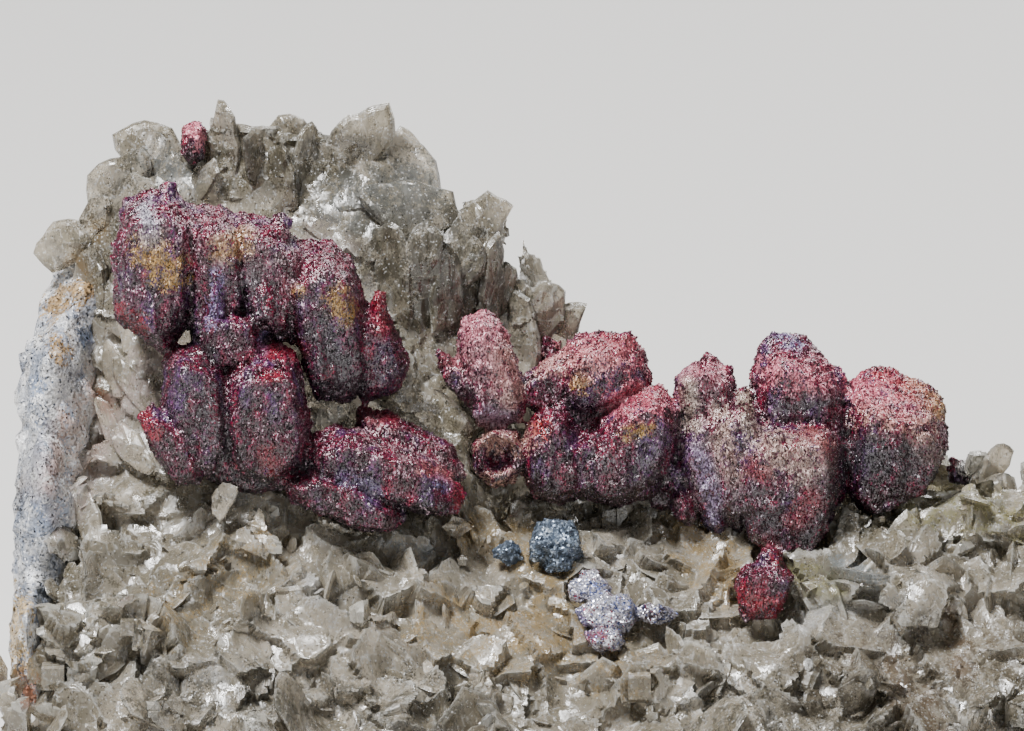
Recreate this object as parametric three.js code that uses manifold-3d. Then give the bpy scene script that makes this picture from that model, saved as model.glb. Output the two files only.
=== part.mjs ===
// Proustite crystals grown on a crust of bladed calcite, with the wall rock that carries it.
// Millimetres, +X to the right, +Y away from the front, +Z up, origin on the flat sawn base.
import * as THREE from "three";
import { ConvexGeometry } from "three/addons/geometries/ConvexGeometry.js";
import { mergeVertices } from "three/addons/utils/BufferGeometryUtils.js";
import Module from "manifold-3d";

const wasm = await Module();
wasm.setup();

// Driving dimensions of the whole specimen.
const BASE_THICKNESS = 4.2;
const CRUST_UNDERSIDE = 1.6;
const CRUST_LEAST_THICKNESS = 3.4;
const SOCKET_GAP = 0.3;

// The front view that the crystals are measured in: its tilt, the height at its middle, and how far
// that middle lies to the right of and below its upper left corner.
const VIEW_ELEVATION = THREE.MathUtils.degToRad(16);
const VIEW_CENTRE_HEIGHT = 21.5;
const VIEW_MIDDLE = [25.6, 18.3];

// The relief of the crust: the shelf from front to back with its lift from left to right, and the
// crest of the hump from left to right.
const SHELF_PROFILE = [
  [-18, 2.6], [-12, 6], [-6, 11.4], [-2.5, 13.8], [3, 13.4], [7, 11.2], [11, 7.4], [14, 5],
];
const SHELF_LIFT = [[-9, 1.7], [-1, 0], [13, 0], [18, 1.1], [31, 1.1]];
const HUMP_CREST = [
  [-28, 21], [-24, 25.5], [-20.7, 29.4], [-18, 31.8], [-14.4, 32.4], [-10.9, 32.2], [-7.4, 31.6],
  [-4.1, 29.4], [-0.6, 26], [2.4, 21.6], [5, 15], [9, 6],
];
const HUMP_CREST_Y = 5.6;
const HUMP_TOP_HALF = 1.1;
const HUMP_FRONT_SLOPE = 2.3;
const HUMP_BACK_SLOPE = 2.4;

// The plan of the crust: how far it reaches to the left and right from front to back.
const PLAN_FRONT = -16.6;
const PLAN_BACK = 13.2;
const PLAN_LEFT = [[-17, -23.6], [-13, -25], [-8, -24.8], [-4, -23.2], [1, -22], [8, -21.6], [13, -19]];
const PLAN_RIGHT = [[-17, 27], [-12, 29.6], [-4, 31], [4, 30.6], [9, 29], [13, 26]];
const PLAN_END_ROUNDING = 0.3;

// Where no loose blades are strewn: round the grey nodules and the silvery crust, as x, y and radius,
// and on the top of the hump, where the large blades stand.
const BARE_SPOTS = [[2.1, -4.6, 2.4], [0, -4.8, 1.8], [5, -7.2, 3], [8, -7.2, 1.6], [12.4, -7.4, 2]];
const BARE_ABOVE = 28.5;

// A repeatable stream of numbers from 0 to 1.
const STREAM_RANGE = 2 ** 32;
function stream(seed) {
  let state = seed >>> 0;
  return () => {
    state = (state + 0x6d2b79f5) >>> 0;
    let mixed = Math.imul(state ^ (state >>> 15), 1 | state);
    mixed = (mixed + Math.imul(mixed ^ (mixed >>> 7), 61 | mixed)) ^ mixed;
    return ((mixed ^ (mixed >>> 14)) >>> 0) / STREAM_RANGE;
  };
}

const between = (random, low, high) => low + (high - low) * random();

function anyDirection(random) {
  const [x, y, z] = [between(random, -1, 1), between(random, -1, 1), between(random, -0.8, 0.8)];
  return new THREE.Vector3(x, y, z).normalize();
}

// A point of the front view in the part's own frame: across and down from the view's upper left
// corner, and its depth.
function seen(across, down, depth) {
  const rise = VIEW_MIDDLE[1] - down - depth * Math.sin(VIEW_ELEVATION);
  const height = VIEW_CENTRE_HEIGHT + rise / Math.cos(VIEW_ELEVATION);
  return new THREE.Vector3(across - VIEW_MIDDLE[0], depth, height);
}

function solid(geometry) {
  const bare = geometry.index ? geometry.toNonIndexed() : geometry.clone();
  bare.deleteAttribute("normal");
  bare.deleteAttribute("uv");
  const merged = mergeVertices(bare, 1e-4);
  return new wasm.Manifold(
    new wasm.Mesh({
      numProp: 3,
      vertProperties: merged.attributes.position.array,
      triVerts: new Uint32Array(merged.index.array),
    }),
  );
}

const convex = (points) => solid(new ConvexGeometry(points));

function join(solids) {
  return solids.reduce((whole, next) => whole.add(next));
}

// The largest body of a solid, without the crumbs that cutting leaves beside it.
function largest(whole) {
  return whole.decompose().reduce((a, b) => (a.volume() > b.volume() ? a : b));
}

function geometryOf(whole) {
  const mesh = whole.getMesh();
  const positions = new Float32Array(mesh.numVert * 3);
  for (let i = 0; i < mesh.numVert; i++) {
    positions.set(mesh.vertProperties.subarray(i * mesh.numProp, i * mesh.numProp + 3), i * 3);
  }
  const geometry = new THREE.BufferGeometry();
  geometry.setAttribute("position", new THREE.BufferAttribute(positions, 3));
  geometry.setIndex(new THREE.BufferAttribute(new Uint32Array(mesh.triVerts), 1));
  geometry.computeVertexNormals();
  return geometry;
}

function along(table, x) {
  const next = table.findIndex(([place]) => place > x);
  if (next === 0) return table[0][1];
  if (next < 0) return table.at(-1)[1];
  const [[x0, y0], [x1, y1]] = [table[next - 1], table[next]];
  return y0 + ((y1 - y0) * (x - x0)) / (x1 - x0);
}

// Height of the crust's relief under its blades.
function relief(x, y) {
  const slope = y < HUMP_CREST_Y ? HUMP_FRONT_SLOPE : HUMP_BACK_SLOPE;
  const hump = along(HUMP_CREST, x) - slope * Math.max(0, Math.abs(y - HUMP_CREST_Y) - HUMP_TOP_HALF);
  const ripple = 0.45 * Math.sin(x * 0.9 + y * 0.5) * Math.cos(y * 0.8 - x * 0.35);
  const shelf = along(SHELF_PROFILE, y) + along(SHELF_LIFT, x);
  return Math.max(Math.max(shelf, hump) + ripple, CRUST_UNDERSIDE + CRUST_LEAST_THICKNESS);
}

function reliefNormal(x, y) {
  const step = 0.6;
  const dx = (relief(x + step, y) - relief(x - step, y)) / (2 * step);
  const dy = (relief(x, y + step) - relief(x, y - step)) / (2 * step);
  return new THREE.Vector3(-dx, -dy, 1).normalize();
}

// The specimen's plan: u and v from -1 to 1 across a square give x and y.
function plan(u, v) {
  const middle = (PLAN_FRONT + PLAN_BACK) / 2;
  const y = middle + ((PLAN_BACK - PLAN_FRONT) / 2) * v * (1 - PLAN_END_ROUNDING * Math.abs(u) ** 3);
  const [left, right] = [along(PLAN_LEFT, y), along(PLAN_RIGHT, y)];
  return [left + ((right - left) * (u + 1)) / 2, y];
}

const PLAN_MIDDLE = plan(0, 0);

// The mass of the crust as a closed body: a grid over the plan, its wall and its underside.
function crustMass() {
  const columns = 20;
  const rows = 12;
  const random = stream(11);
  const shift = 0.55;
  const ragged = 0.85;
  const top = [];
  for (let j = 0; j <= rows; j++) {
    for (let i = 0; i <= columns; i++) {
      const edge = i === 0 || j === 0 || i === columns || j === rows;
      const [x, y] = plan((2 * i) / columns - 1, (2 * j) / rows - 1);
      const high = relief(x, y);
      if (edge) {
        top.push([x, y, high - between(random, 0.15, 0.4) * (high - CRUST_UNDERSIDE)]);
      } else {
        const [sideways, forwards] = [between(random, -shift, shift), between(random, -shift, shift)];
        top.push([x + sideways, y + forwards, high + between(random, -ragged, 0.8 * ragged)]);
      }
    }
  }
  const ring = [];
  for (let i = 0; i < columns; i++) ring.push(i);
  for (let j = 0; j < rows; j++) ring.push(j * (columns + 1) + columns);
  for (let i = columns; i > 0; i--) ring.push(rows * (columns + 1) + i);
  for (let j = rows; j > 0; j--) ring.push(j * (columns + 1));
  const taper = 0.94;
  const under = ring.map((k) => [
    PLAN_MIDDLE[0] + (top[k][0] - PLAN_MIDDLE[0]) * taper,
    PLAN_MIDDLE[1] + (top[k][1] - PLAN_MIDDLE[1]) * taper,
    CRUST_UNDERSIDE,
  ]);
  const points = [...top, ...under, [...PLAN_MIDDLE, CRUST_UNDERSIDE]];
  const faces = [];
  for (let j = 0; j < rows; j++) {
    for (let i = 0; i < columns; i++) {
      const a = j * (columns + 1) + i;
      const c = a + columns + 1;
      faces.push(a, a + 1, c + 1, a, c + 1, c);
    }
  }
  ring.forEach((k, i) => {
    const next = (i + 1) % ring.length;
    const low = top.length + i;
    const lowNext = top.length + next;
    faces.push(k, low, lowNext, k, lowNext, ring[next]);
    faces.push(points.length - 1, lowNext, low);
  });
  const geometry = new THREE.BufferGeometry();
  geometry.setAttribute("position", new THREE.Float32BufferAttribute(points.flat(), 3));
  geometry.setIndex(faces);
  return solid(geometry);
}

// One calcite blade: a lens with an uneven rim whose two faces rise to low peaks off its centre.
function blade({ at, normal, upward, long, wide, thick, corners = 6 }, random) {
  const z = normal.clone().normalize();
  const y = upward.clone().addScaledVector(z, -upward.dot(z)).normalize();
  const basis = new THREE.Matrix4().makeBasis(y.clone().cross(z), y, z).setPosition(at);
  const points = [];
  for (let i = 0; i < corners; i++) {
    const angle = (2 * Math.PI * (i + between(random, -0.25, 0.25))) / corners;
    const reach = between(random, 0.86, 1.08);
    const lift = between(random, -0.12, 0.12) * thick;
    points.push(new THREE.Vector3(Math.sin(angle) * wide * reach, Math.cos(angle) * long * reach, lift));
  }
  for (const side of [-0.5, 0.5]) {
    const peak = [between(random, -0.3, 0.3) * wide, between(random, -0.3, 0.3) * long];
    points.push(new THREE.Vector3(...peak, side * thick));
  }
  return convex(points.map((point) => point.applyMatrix4(basis)));
}

// The large blades that give the hump and the shelf their outline, as they stand in the front view.
// at is across, down and depth; turn and nod aim the flat face right and up; lean tips it to the right.
const LARGE_BLADES = [
  { at: [11.2, 7.7, 4.5], turn: -25, nod: 5, lean: 3, long: 2.7, wide: 0.95, thick: 0.6 },
  { at: [9.9, 9.3, 3.9], turn: -40, nod: 10, lean: -35, long: 1.9, wide: 0.8, thick: 0.5 },
  { at: [12.9, 8.4, 4.4], turn: 55, nod: 0, lean: 25, long: 2.2, wide: 1.0, thick: 0.5 },
  { at: [14.1, 8.9, 3.9], turn: -20, nod: 5, lean: 12, long: 1.7, wide: 0.75, thick: 0.5 },
  { at: [15.2, 8.1, 4.7], turn: 35, nod: 5, lean: -8, long: 1.9, wide: 0.7, thick: 0.5 },
  { at: [14.7, 7.3, 6.2], turn: 5, nod: 20, lean: 60, long: 2.2, wide: 1.7, thick: 0.9 },
  { at: [18.9, 8.6, 5.6], turn: 12, nod: 30, lean: 70, long: 3.4, wide: 2.2, thick: 1.4 },
  { at: [20.2, 10.3, 3.5], turn: 15, nod: 25, lean: 75, long: 2.6, wide: 1.6, thick: 0.9 },
  { at: [17.0, 9.5, 4.5], turn: -10, nod: 40, lean: 80, long: 2.4, wide: 1.5, thick: 0.9 },
  { at: [16.7, 11.3, 3.4], turn: 5, nod: 35, lean: 60, long: 2.1, wide: 1.2, thick: 0.8 },
  { at: [19.8, 13.7, 1.9], turn: -30, nod: 5, lean: 8, long: 3.0, wide: 1.3, thick: 0.9 },
  { at: [21.1, 13.9, 1.8], turn: 10, nod: 0, lean: -5, long: 3.0, wide: 1.3, thick: 0.9 },
  { at: [22.3, 14.5, 2.0], turn: 35, nod: 5, lean: -8, long: 2.6, wide: 1.0, thick: 0.7 },
  { at: [23.7, 11.7, 3.7], turn: 20, nod: 20, lean: -50, long: 2.5, wide: 1.4, thick: 0.8 },
  { at: [23.4, 13.1, 2.9], turn: -15, nod: 10, lean: -20, long: 1.5, wide: 0.9, thick: 0.6 },
  { at: [24.5, 14.4, 3.2], turn: 40, nod: 0, lean: -3, long: 2.3, wide: 0.9, thick: 0.7 },
  { at: [25.3, 14.3, 3.9], turn: 20, nod: 0, lean: -15, long: 1.4, wide: 0.5, thick: 0.5 },
  { at: [26.9, 16.0, 4.0], turn: 5, nod: 5, lean: -20, long: 2.4, wide: 1.3, thick: 0.7 },
  { at: [26.2, 16.6, 3.4], turn: -30, nod: 5, lean: 10, long: 2.1, wide: 0.9, thick: 0.6 },
  { at: [27.8, 16.9, 4.2], turn: 15, nod: 5, lean: -35, long: 2.1, wide: 1.1, thick: 0.7 },
  { at: [3.0, 12.1, 4.0], turn: -20, nod: 5, lean: -50, long: 1.7, wide: 1.3, thick: 1.0 },
  { at: [4.6, 11.0, 4.2], turn: -30, nod: 5, lean: -20, long: 1.5, wide: 0.9, thick: 0.8 },
  { at: [5.8, 9.3, 4.8], turn: -15, nod: 10, lean: -30, long: 2.1, wide: 1.4, thick: 0.9 },
  { at: [7.7, 7.9, 5.4], turn: -10, nod: 15, lean: 50, long: 2.4, wide: 1.7, thick: 1.1 },
  { at: [6.5, 11.0, 3.7], turn: -30, nod: 10, lean: -10, long: 2.6, wide: 1.4, thick: 1.0 },
  { at: [49.0, 25.6, 1.2], turn: 15, nod: 50, lean: 75, long: 2.8, wide: 1.8, thick: 1.0 },
  { at: [45.8, 26.6, 0.2], turn: -15, nod: 45, lean: 70, long: 2.6, wide: 1.7, thick: 1.0 },
  { at: [42.2, 27.9, -1.6], turn: -10, nod: 40, lean: 55, long: 2.2, wide: 1.6, thick: 0.8 },
  { at: [36.7, 27.7, -1.8], turn: 10, nod: 10, lean: 20, long: 1.6, wide: 1.1, thick: 0.6 },
  { at: [32.7, 27.5, -1.4], turn: 5, nod: 40, lean: 70, long: 3.0, wide: 1.7, thick: 0.8 },
  { at: [25.0, 29.7, -3.4], turn: -5, nod: 45, lean: 60, long: 2.8, wide: 1.9, thick: 0.9 },
  { at: [20.0, 28.3, -3.6], turn: 15, nod: 20, lean: 30, long: 2.0, wide: 1.5, thick: 0.7 },
  { at: [11.7, 25.2, -5.4], turn: -15, nod: 15, lean: -20, long: 1.3, wide: 0.9, thick: 0.6 },
  { at: [8.3, 27.9, -7.6], turn: -35, nod: 30, lean: 35, long: 3.2, wide: 1.5, thick: 0.9 },
];

function largeBlade({ at, turn, nod, lean, ...sizes }, index) {
  const aim = new THREE.Euler(
    THREE.MathUtils.degToRad(-nod),
    THREE.MathUtils.degToRad(-lean),
    THREE.MathUtils.degToRad(turn),
    "ZXY",
  );
  const normal = new THREE.Vector3(0, -1, 0).applyEuler(aim);
  const upward = new THREE.Vector3(0, 0, 1).applyEuler(aim);
  return blade({ at: seen(...at), normal, upward, ...sizes }, stream(200 + index));
}

// Blades strewn over the relief. They stand more steeply towards the right, and lie flatter elsewhere.
function strewnBlades() {
  const columns = 10;
  const rows = 6;
  const steepFrom = 17;
  const random = stream(37);
  const made = [];
  for (let j = 0; j < rows; j++) {
    for (let i = 0; i < columns; i++) {
      const u = (2 * (i + between(random, 0.1, 0.9))) / columns - 1;
      const v = (2 * (j + between(random, 0.1, 0.9))) / rows - 1;
      const [x, y] = plan(u, v);
      const bare = BARE_SPOTS.some(([midX, midY, reach]) => Math.hypot(x - midX, y - midY) < reach);
      if (bare || relief(x, y) > BARE_ABOVE) continue;
      const outward = reliefNormal(x, y);
      const steep = between(random, 0.5, x > steepFrom ? 1.9 : 1.15);
      const stray = anyDirection(random);
      const normal = outward.clone().addScaledVector(stray, steep);
      const long = between(random, 1.9, 3.1);
      const wide = long * between(random, 0.6, 0.95);
      const at = new THREE.Vector3(x, y, relief(x, y));
      const flat = Math.abs(normal.clone().normalize().dot(outward));
      at.addScaledVector(outward, 0.15 * long - 0.35 * long * (1 - flat));
      made.push(blade({ at, normal, upward: stray, long, wide, thick: long * 0.38, corners: 5 }, random));
    }
  }
  return made;
}

// Larger broken blades round the sides, between the shelf and the wall rock.
function sideBlades() {
  const count = 14;
  const random = stream(53);
  const made = [];
  for (let i = 0; i < count; i++) {
    const angle = (2 * Math.PI * (i + between(random, -0.3, 0.3))) / count;
    const square = 0.95 / Math.max(Math.abs(Math.cos(angle)), Math.abs(Math.sin(angle)));
    const [x, y] = plan(Math.cos(angle) * square, Math.sin(angle) * square);
    const outward = new THREE.Vector3(x - PLAN_MIDDLE[0], 2.2 * (y - PLAN_MIDDLE[1]), 0).normalize();
    const low = CRUST_UNDERSIDE + CRUST_LEAST_THICKNESS;
    const high = between(random, low, Math.max(low, relief(x, y) - 1));
    const stray = anyDirection(random);
    const normal = outward.clone().addScaledVector(stray, 0.8);
    const long = between(random, 2.4, 3.6);
    const wide = long * between(random, 0.6, 0.9);
    const at = new THREE.Vector3(x, y, high);
    made.push(blade({ at, normal, upward: stray, long, wide, thick: 1.1, corners: 5 }, random));
  }
  return made;
}

// One blocky crystal from its outline in the front view, which lies at a depth that grows upwards
// from near to far. A smaller flat face stands in front of the outline, and a smaller one behind it.
function block({ outline, near, far, face = 0.66, sag = 0.06, rear = 0.7 }, random, grow = 0) {
  const mean = (axis) => outline.reduce((sum, corner) => sum + corner[axis], 0) / outline.length;
  const middle = [mean(0), mean(1)];
  const downs = outline.map((corner) => corner[1]);
  const bottom = Math.max(...downs);
  const tall = bottom - Math.min(...downs);
  const at = ([across, down], scale, lower, depth) => {
    const spread = [across - middle[0], down - middle[1]];
    const out = grow / Math.hypot(...spread);
    return seen(
      middle[0] + spread[0] * (scale + out),
      middle[1] + lower + spread[1] * (scale + out),
      depth + between(random, -0.15, 0.15),
    );
  };
  const points = [];
  outline.forEach((corner, i) => {
    const rise = (bottom - corner[1]) / tall;
    points.push(at(corner, 1, 0, near + (far - near) * (0.3 + 0.4 * rise)));
    points.push(at(corner, face + between(random, -0.07, 0.07), sag * tall, near - grow));
    if (i % 2 === 0) points.push(at(corner, rear, 0, far + grow));
  });
  return convex(points);
}

// A narrow rib or a small knob on a crystal, from root to tip in the front view.
function rib([root, tip, wide], random) {
  const [low, high] = [seen(...root), seen(...tip)];
  const axis = high.clone().sub(low).normalize();
  const turn = new THREE.Quaternion().setFromUnitVectors(new THREE.Vector3(0, 0, 1), axis);
  const corners = 4;
  const points = [];
  for (const [end, reach] of [[low, 0.95 * wide], [high, 0.75 * wide]]) {
    for (let i = 0; i < corners; i++) {
      const angle = (2 * Math.PI * (i + between(random, -0.2, 0.2))) / corners;
      const point = new THREE.Vector3(Math.cos(angle) * reach, Math.sin(angle) * reach, 0);
      points.push(point.applyQuaternion(turn).add(end));
    }
  }
  return convex(points);
}

// A lump with flat facets, rounded like a ball where boxy is 0 and like a block where it is 1.
function lump({ at, across, deep, high, points = 26, boxy = 0 }, random, grow = 0) {
  const corners = [];
  for (let i = 0; i < points; i++) {
    const z = 1 - (2 * i + 1) / points;
    const angle = i * Math.PI * (3 - Math.sqrt(5)) + between(random, -0.2, 0.2);
    const flat = Math.sqrt(1 - z * z);
    const point = new THREE.Vector3(Math.cos(angle) * flat, Math.sin(angle) * flat, z);
    const largestPart = Math.max(Math.abs(point.x), Math.abs(point.y), Math.abs(point.z));
    point.multiplyScalar(between(random, 0.88, 1.1) / largestPart ** boxy);
    corners.push(point.multiply(new THREE.Vector3(across + grow, deep + grow, high + grow)).add(at));
  }
  return convex(corners);
}

// The proustite, cluster by cluster: its blocky crystals, then the ribs and knobs grown on them.
const PROUSTITE = {
  proustite_left_cluster: {
    blocks: [
      {
        outline: [
          [6.3, 10], [7.3, 9.5], [8.8, 9.6], [10, 10.6],
          [10, 15.8], [8.4, 17.9], [5.8, 16.1], [5.7, 13],
        ],
        near: -3.2, far: 1.6,
      },
      {
        outline: [[9.5, 10.2], [11.2, 10.3], [12.3, 11], [12.6, 15], [11.6, 17.6], [9.6, 17.4], [9.2, 13]],
        near: -2.7, far: 2.2,
      },
      {
        outline: [
          [11.8, 10.6], [13.4, 10.8], [15.4, 12.2], [15.7, 15],
          [14.6, 17.2], [12.4, 17], [11.8, 13.6],
        ],
        near: -2.9, far: 2,
      },
      {
        outline: [
          [15, 12], [16.6, 12], [17.7, 13], [18.4, 15.4], [18.8, 19],
          [17.4, 20.3], [15.8, 20], [14.5, 16.4], [14.2, 13.4],
        ],
        near: -3.4, far: 1.8,
      },
      {
        outline: [
          [18.1, 15.2], [19.2, 15], [19.7, 16.3], [20.6, 18.2],
          [20, 19.6], [18.2, 20.3], [17.4, 18],
        ],
        near: -2.7, far: 1.2,
      },
      { outline: [[9.9, 15.4], [13.2, 15.6], [13.4, 18.4], [10, 18.6]], near: -3.8, far: 0.6 },
      {
        outline: [
          [8.3, 17.8], [9, 17.2], [10.4, 17.2], [11.6, 18.2],
          [11.9, 23], [10.6, 24], [9.2, 22.8], [8.1, 20.6],
        ],
        near: -5.4, far: -0.6,
      },
      {
        outline: [
          [11.4, 18.2], [12.6, 17.4], [14.1, 17], [15, 17.8], [15.7, 21.2],
          [15.4, 23.2], [13.6, 24.5], [11.7, 23.9], [11, 21],
        ],
        near: -5.9, far: -0.7,
      },
      {
        outline: [[7, 20.8], [7.7, 20.1], [9.2, 21.2], [10.4, 23.1], [10.2, 24.2], [9, 24.3], [7.7, 22.7]],
        near: -5.6, far: -2.6,
      },
      {
        outline: [[10.4, 22.2], [14.8, 22.6], [14.9, 24.4], [12.6, 24.7], [10.6, 24.1]],
        near: -4.7, far: -1.4,
      },
      {
        outline: [
          [17.8, 20.3], [19.4, 20.5], [22.9, 22.3], [23.4, 24],
          [22, 24.2], [19.2, 23.1], [17.7, 21.8],
        ],
        near: -3.4, far: -0.6,
      },
      {
        outline: [
          [15, 22], [16.6, 21.2], [18.6, 21.5], [22, 22.9], [23.4, 24.7],
          [23, 25.7], [21.4, 25.8], [16.6, 24.2], [14.9, 23.3],
        ],
        near: -5.6, far: -1.6,
      },
      {
        outline: [
          [14, 23.9], [15.4, 23.3], [18, 24.1], [20.5, 25.8],
          [19.9, 26.5], [18.3, 26.6], [14.6, 25.1],
        ],
        near: -6.3, far: -2.8,
      },
    ],
    ribs: [
      [[8, 16.6, -3], [8, 11, -2.4], 0.8], [[10.9, 16.8, -3.2], [10.8, 12, -1.9], 0.6],
      [[13.4, 16, -3.4], [13.2, 11.6, -1.6], 0.6], [[16.3, 19, -3.4], [15.7, 13.8, -2.7], 0.8],
      [[17.8, 19, -2.9], [17.1, 14.2, -2.2], 0.55], [[12.8, 23.4, -5.6], [12.8, 18.4, -5.3], 0.7],
      [[14.5, 22.8, -5.4], [14.3, 17.9, -4.8], 0.6], [[9.6, 22.4, -5], [9.3, 18.2, -4.9], 0.7],
      [[16.6, 23, -5.3], [22.2, 25, -4.6], 0.5], [[17.2, 22, -4.8], [22.6, 24.2, -3.9], 0.5],
      [[18.9, 16.4, -1.6], [19, 14.6, -1.2], 0.5], [[8.6, 10.4, -0.6], [8.4, 9.4, 0], 0.8],
      [[6.6, 13, -1.6], [6, 12, -1.2], 0.7], [[13.9, 12, -1.4], [14.3, 10.9, -0.4], 0.7],
    ],
  },
  proustite_right_cluster: {
    blocks: [
      {
        outline: [
          [23, 15.9], [23.8, 15.5], [24.7, 15.6], [25.5, 16.8], [26.4, 19.8],
          [26.2, 21.2], [24, 21.5], [22.7, 19.3], [22.8, 17.2],
        ],
        near: -1.6, far: 1.6,
      },
      {
        outline: [[21.8, 17.3], [22.7, 18], [23.5, 18.8], [23.6, 20.4], [22.5, 19.6], [21.9, 18.4]],
        near: -1.1, far: 0.6,
      },
      {
        outline: [
          [27.8, 17.7], [28.8, 16.7], [30, 16.5], [31.3, 16.7], [32.3, 17.4],
          [32.7, 19.2], [31.6, 20.2], [28.7, 20.8], [27.5, 19.6],
        ],
        near: -1.6, far: 2.6, face: 0.6, sag: 0.14,
      },
      {
        outline: [[26.2, 18.8], [27.4, 17.8], [29, 17.5], [29.2, 20.2], [27.6, 21], [26.2, 20.4]],
        near: -0.9, far: 1.9,
      },
      {
        outline: [
          [26.3, 21.2], [27.2, 20.2], [28.3, 20.1], [29, 21.6],
          [29.2, 24.8], [28, 25.3], [26.6, 24.9], [26, 23.4],
        ],
        near: -3, far: 0.8,
      },
      {
        outline: [
          [29.9, 20.8], [31.4, 19.4], [33.1, 19.2], [34.1, 20.6], [33.9, 23],
          [32.6, 25], [30.8, 25.4], [29.3, 25.1], [28.9, 23.2],
        ],
        near: -3.6, far: 1.4,
      },
      { outline: [[28.4, 22], [29.9, 21.4], [30.6, 24.6], [28.6, 24.9]], near: -3.5, far: 0.4 },
      { outline: [[27.6, 19.4], [31.8, 19.4], [31.6, 22.6], [28, 22.8]], near: -0.6, far: 2.4 },
      {
        outline: [
          [33.7, 18.8], [34.4, 18.2], [35.9, 17.9], [36.8, 18.9],
          [36.8, 21], [35, 21.6], [33.8, 20.6],
        ],
        near: -1.8, far: 1.8,
      },
      {
        outline: [
          [34.2, 20], [36.6, 19.4], [37.3, 20.6], [36.9, 23.4],
          [36.3, 26.4], [35.3, 26.9], [34, 25], [33.7, 22.4],
        ],
        near: -2.6, far: 1.2,
      },
      {
        outline: [[36, 19.6], [37.4, 19.3], [38.2, 21], [37.6, 25], [36.6, 26.6], [35.6, 25.4]],
        near: -3, far: 0.8,
      },
      {
        outline: [
          [37.4, 18.9], [37.9, 17.2], [38.6, 16.6], [40.2, 16.7], [41.1, 17.8],
          [42.4, 18.9], [42.2, 20.4], [40.6, 21.4], [37.8, 21.8],
        ],
        near: -1.8, far: 2.4, face: 0.62, sag: 0.2,
      },
      {
        outline: [
          [37, 21.7], [38.8, 21], [41.3, 20.9], [42.1, 21.8], [42.3, 24.8],
          [41.4, 27.9], [40.1, 28.3], [37.2, 26.9], [36.5, 24],
        ],
        near: -4.8, far: 0.6, face: 0.72,
      },
      {
        outline: [
          [42.2, 19.3], [43.2, 18.4], [44.2, 18.2], [46.4, 19.1], [47.2, 19.9],
          [47.5, 22.4], [46.7, 23.9], [43.4, 25.8], [42.1, 24.4],
        ],
        near: -3, far: 2.6, face: 0.68, sag: 0.2,
      },
      {
        outline: [
          [36.6, 29], [37.2, 28.1], [38.9, 27.9], [39.6, 28.7],
          [39.2, 30.1], [38.6, 30.9], [36.9, 30.9],
        ],
        near: -7.9, far: -5, face: 0.75,
      },
      {
        outline: [[37.7, 27.6], [38.4, 26.8], [39.1, 27.5], [39, 29.2], [37.8, 29.2]],
        near: -6.7, far: -2.6,
      },
    ],
    ribs: [
      [[24.3, 20.8, -1.4], [24, 16.2, -1], 0.75], [[25.5, 20.9, -1], [24.9, 17, -0.7], 0.55],
      [[31.2, 24.4, -3.4], [31.4, 20.4, -2.9], 0.8], [[32.8, 23.8, -2.6], [33, 20.2, -2.2], 0.7],
      [[27.2, 24.4, -2.8], [27.5, 20.8, -2.3], 0.6], [[31, 18.2, -0.6], [31.3, 16.8, 0.6], 0.9],
      [[28.8, 18.4, 0], [28.9, 17, 0.8], 0.7],
      [[35.4, 26, -2.3], [35.6, 20.6, -1.7], 0.65], [[36.9, 25.4, -2.8], [36.8, 20, -2.1], 0.6],
      [[39.4, 27.4, -4.6], [38.6, 21.6, -4], 0.8], [[41.2, 27, -4.2], [41.1, 21.6, -3.6], 0.75],
      [[35.6, 19, -0.6], [35.3, 17.8, 0.4], 0.55], [[36.2, 19.4, -0.8], [36.4, 18.3, 0.2], 0.45],
      [[44.6, 24.6, -2.7], [44.8, 21, -2.9], 0.8], [[38.3, 30.8, -7.4], [38.5, 29, -7.4], 0.5],
      [[37.3, 30.9, -7.2], [37.4, 29.6, -7.5], 0.5], [[39.2, 18.6, -0.4], [39.4, 17, 0.8], 0.9],
    ],
    ring: { middle: [24.9, 22.9, -1.6], reach: 1.5, hole: 0.75, deep: 1.1 },
  },
  proustite_top_crystal: {
    blocks: [
      {
        outline: [[9, 6.4], [9.7, 5.9], [10.3, 6.4], [10.2, 7.9], [9.5, 8.3], [9, 7.6]],
        near: 3.4, far: 5.4,
      },
    ],
    ribs: [[[9.7, 7.4, 3.9], [10, 6.2, 3.8], 0.35]],
  },
  proustite_back_crystal: {
    blocks: [
      { outline: [[26.3, 17.5], [27.1, 16.9], [28.1, 17], [28.2, 18.4], [26.8, 18.6]], near: 3, far: 4.6 },
    ],
    ribs: [[[27, 17.8, 3.3], [27.4, 16.9, 3.4], 0.35]],
  },
  proustite_crest_crystal: {
    blocks: [
      { outline: [[47.4, 23.4], [48.1, 23], [49.3, 23.8], [48.9, 24.4], [47.7, 24.2]], near: 1.9, far: 3 },
    ],
    ribs: [[[48.2, 24, 2.2], [47.8, 23, 2.3], 0.3]],
  },
};

// The open ring of crystals at the cluster's foot, with the pit that they leave in its front.
function pittedRing({ middle, reach, hole, deep }, random, grow = 0) {
  const [across, down, depth] = middle;
  const corners = 7;
  const ring = (scale, stretch) =>
    Array.from({ length: corners }, (_, i) => {
      const angle = (2 * Math.PI * i) / corners;
      const out = reach * scale * between(random, 0.92, 1.06);
      return [across + Math.cos(angle) * out, down + Math.sin(angle) * out * stretch];
    });
  const wall = { outline: ring(1, 1.1), near: depth - deep, far: depth + 3, face: 0.82, sag: 0 };
  const body = block(wall, random, grow);
  if (grow) return body;
  const pit = { outline: ring(hole, 1), near: depth - 2 * deep, far: depth, face: 1, rear: 0.3, sag: 0 };
  return body.subtract(block(pit, random));
}

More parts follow.
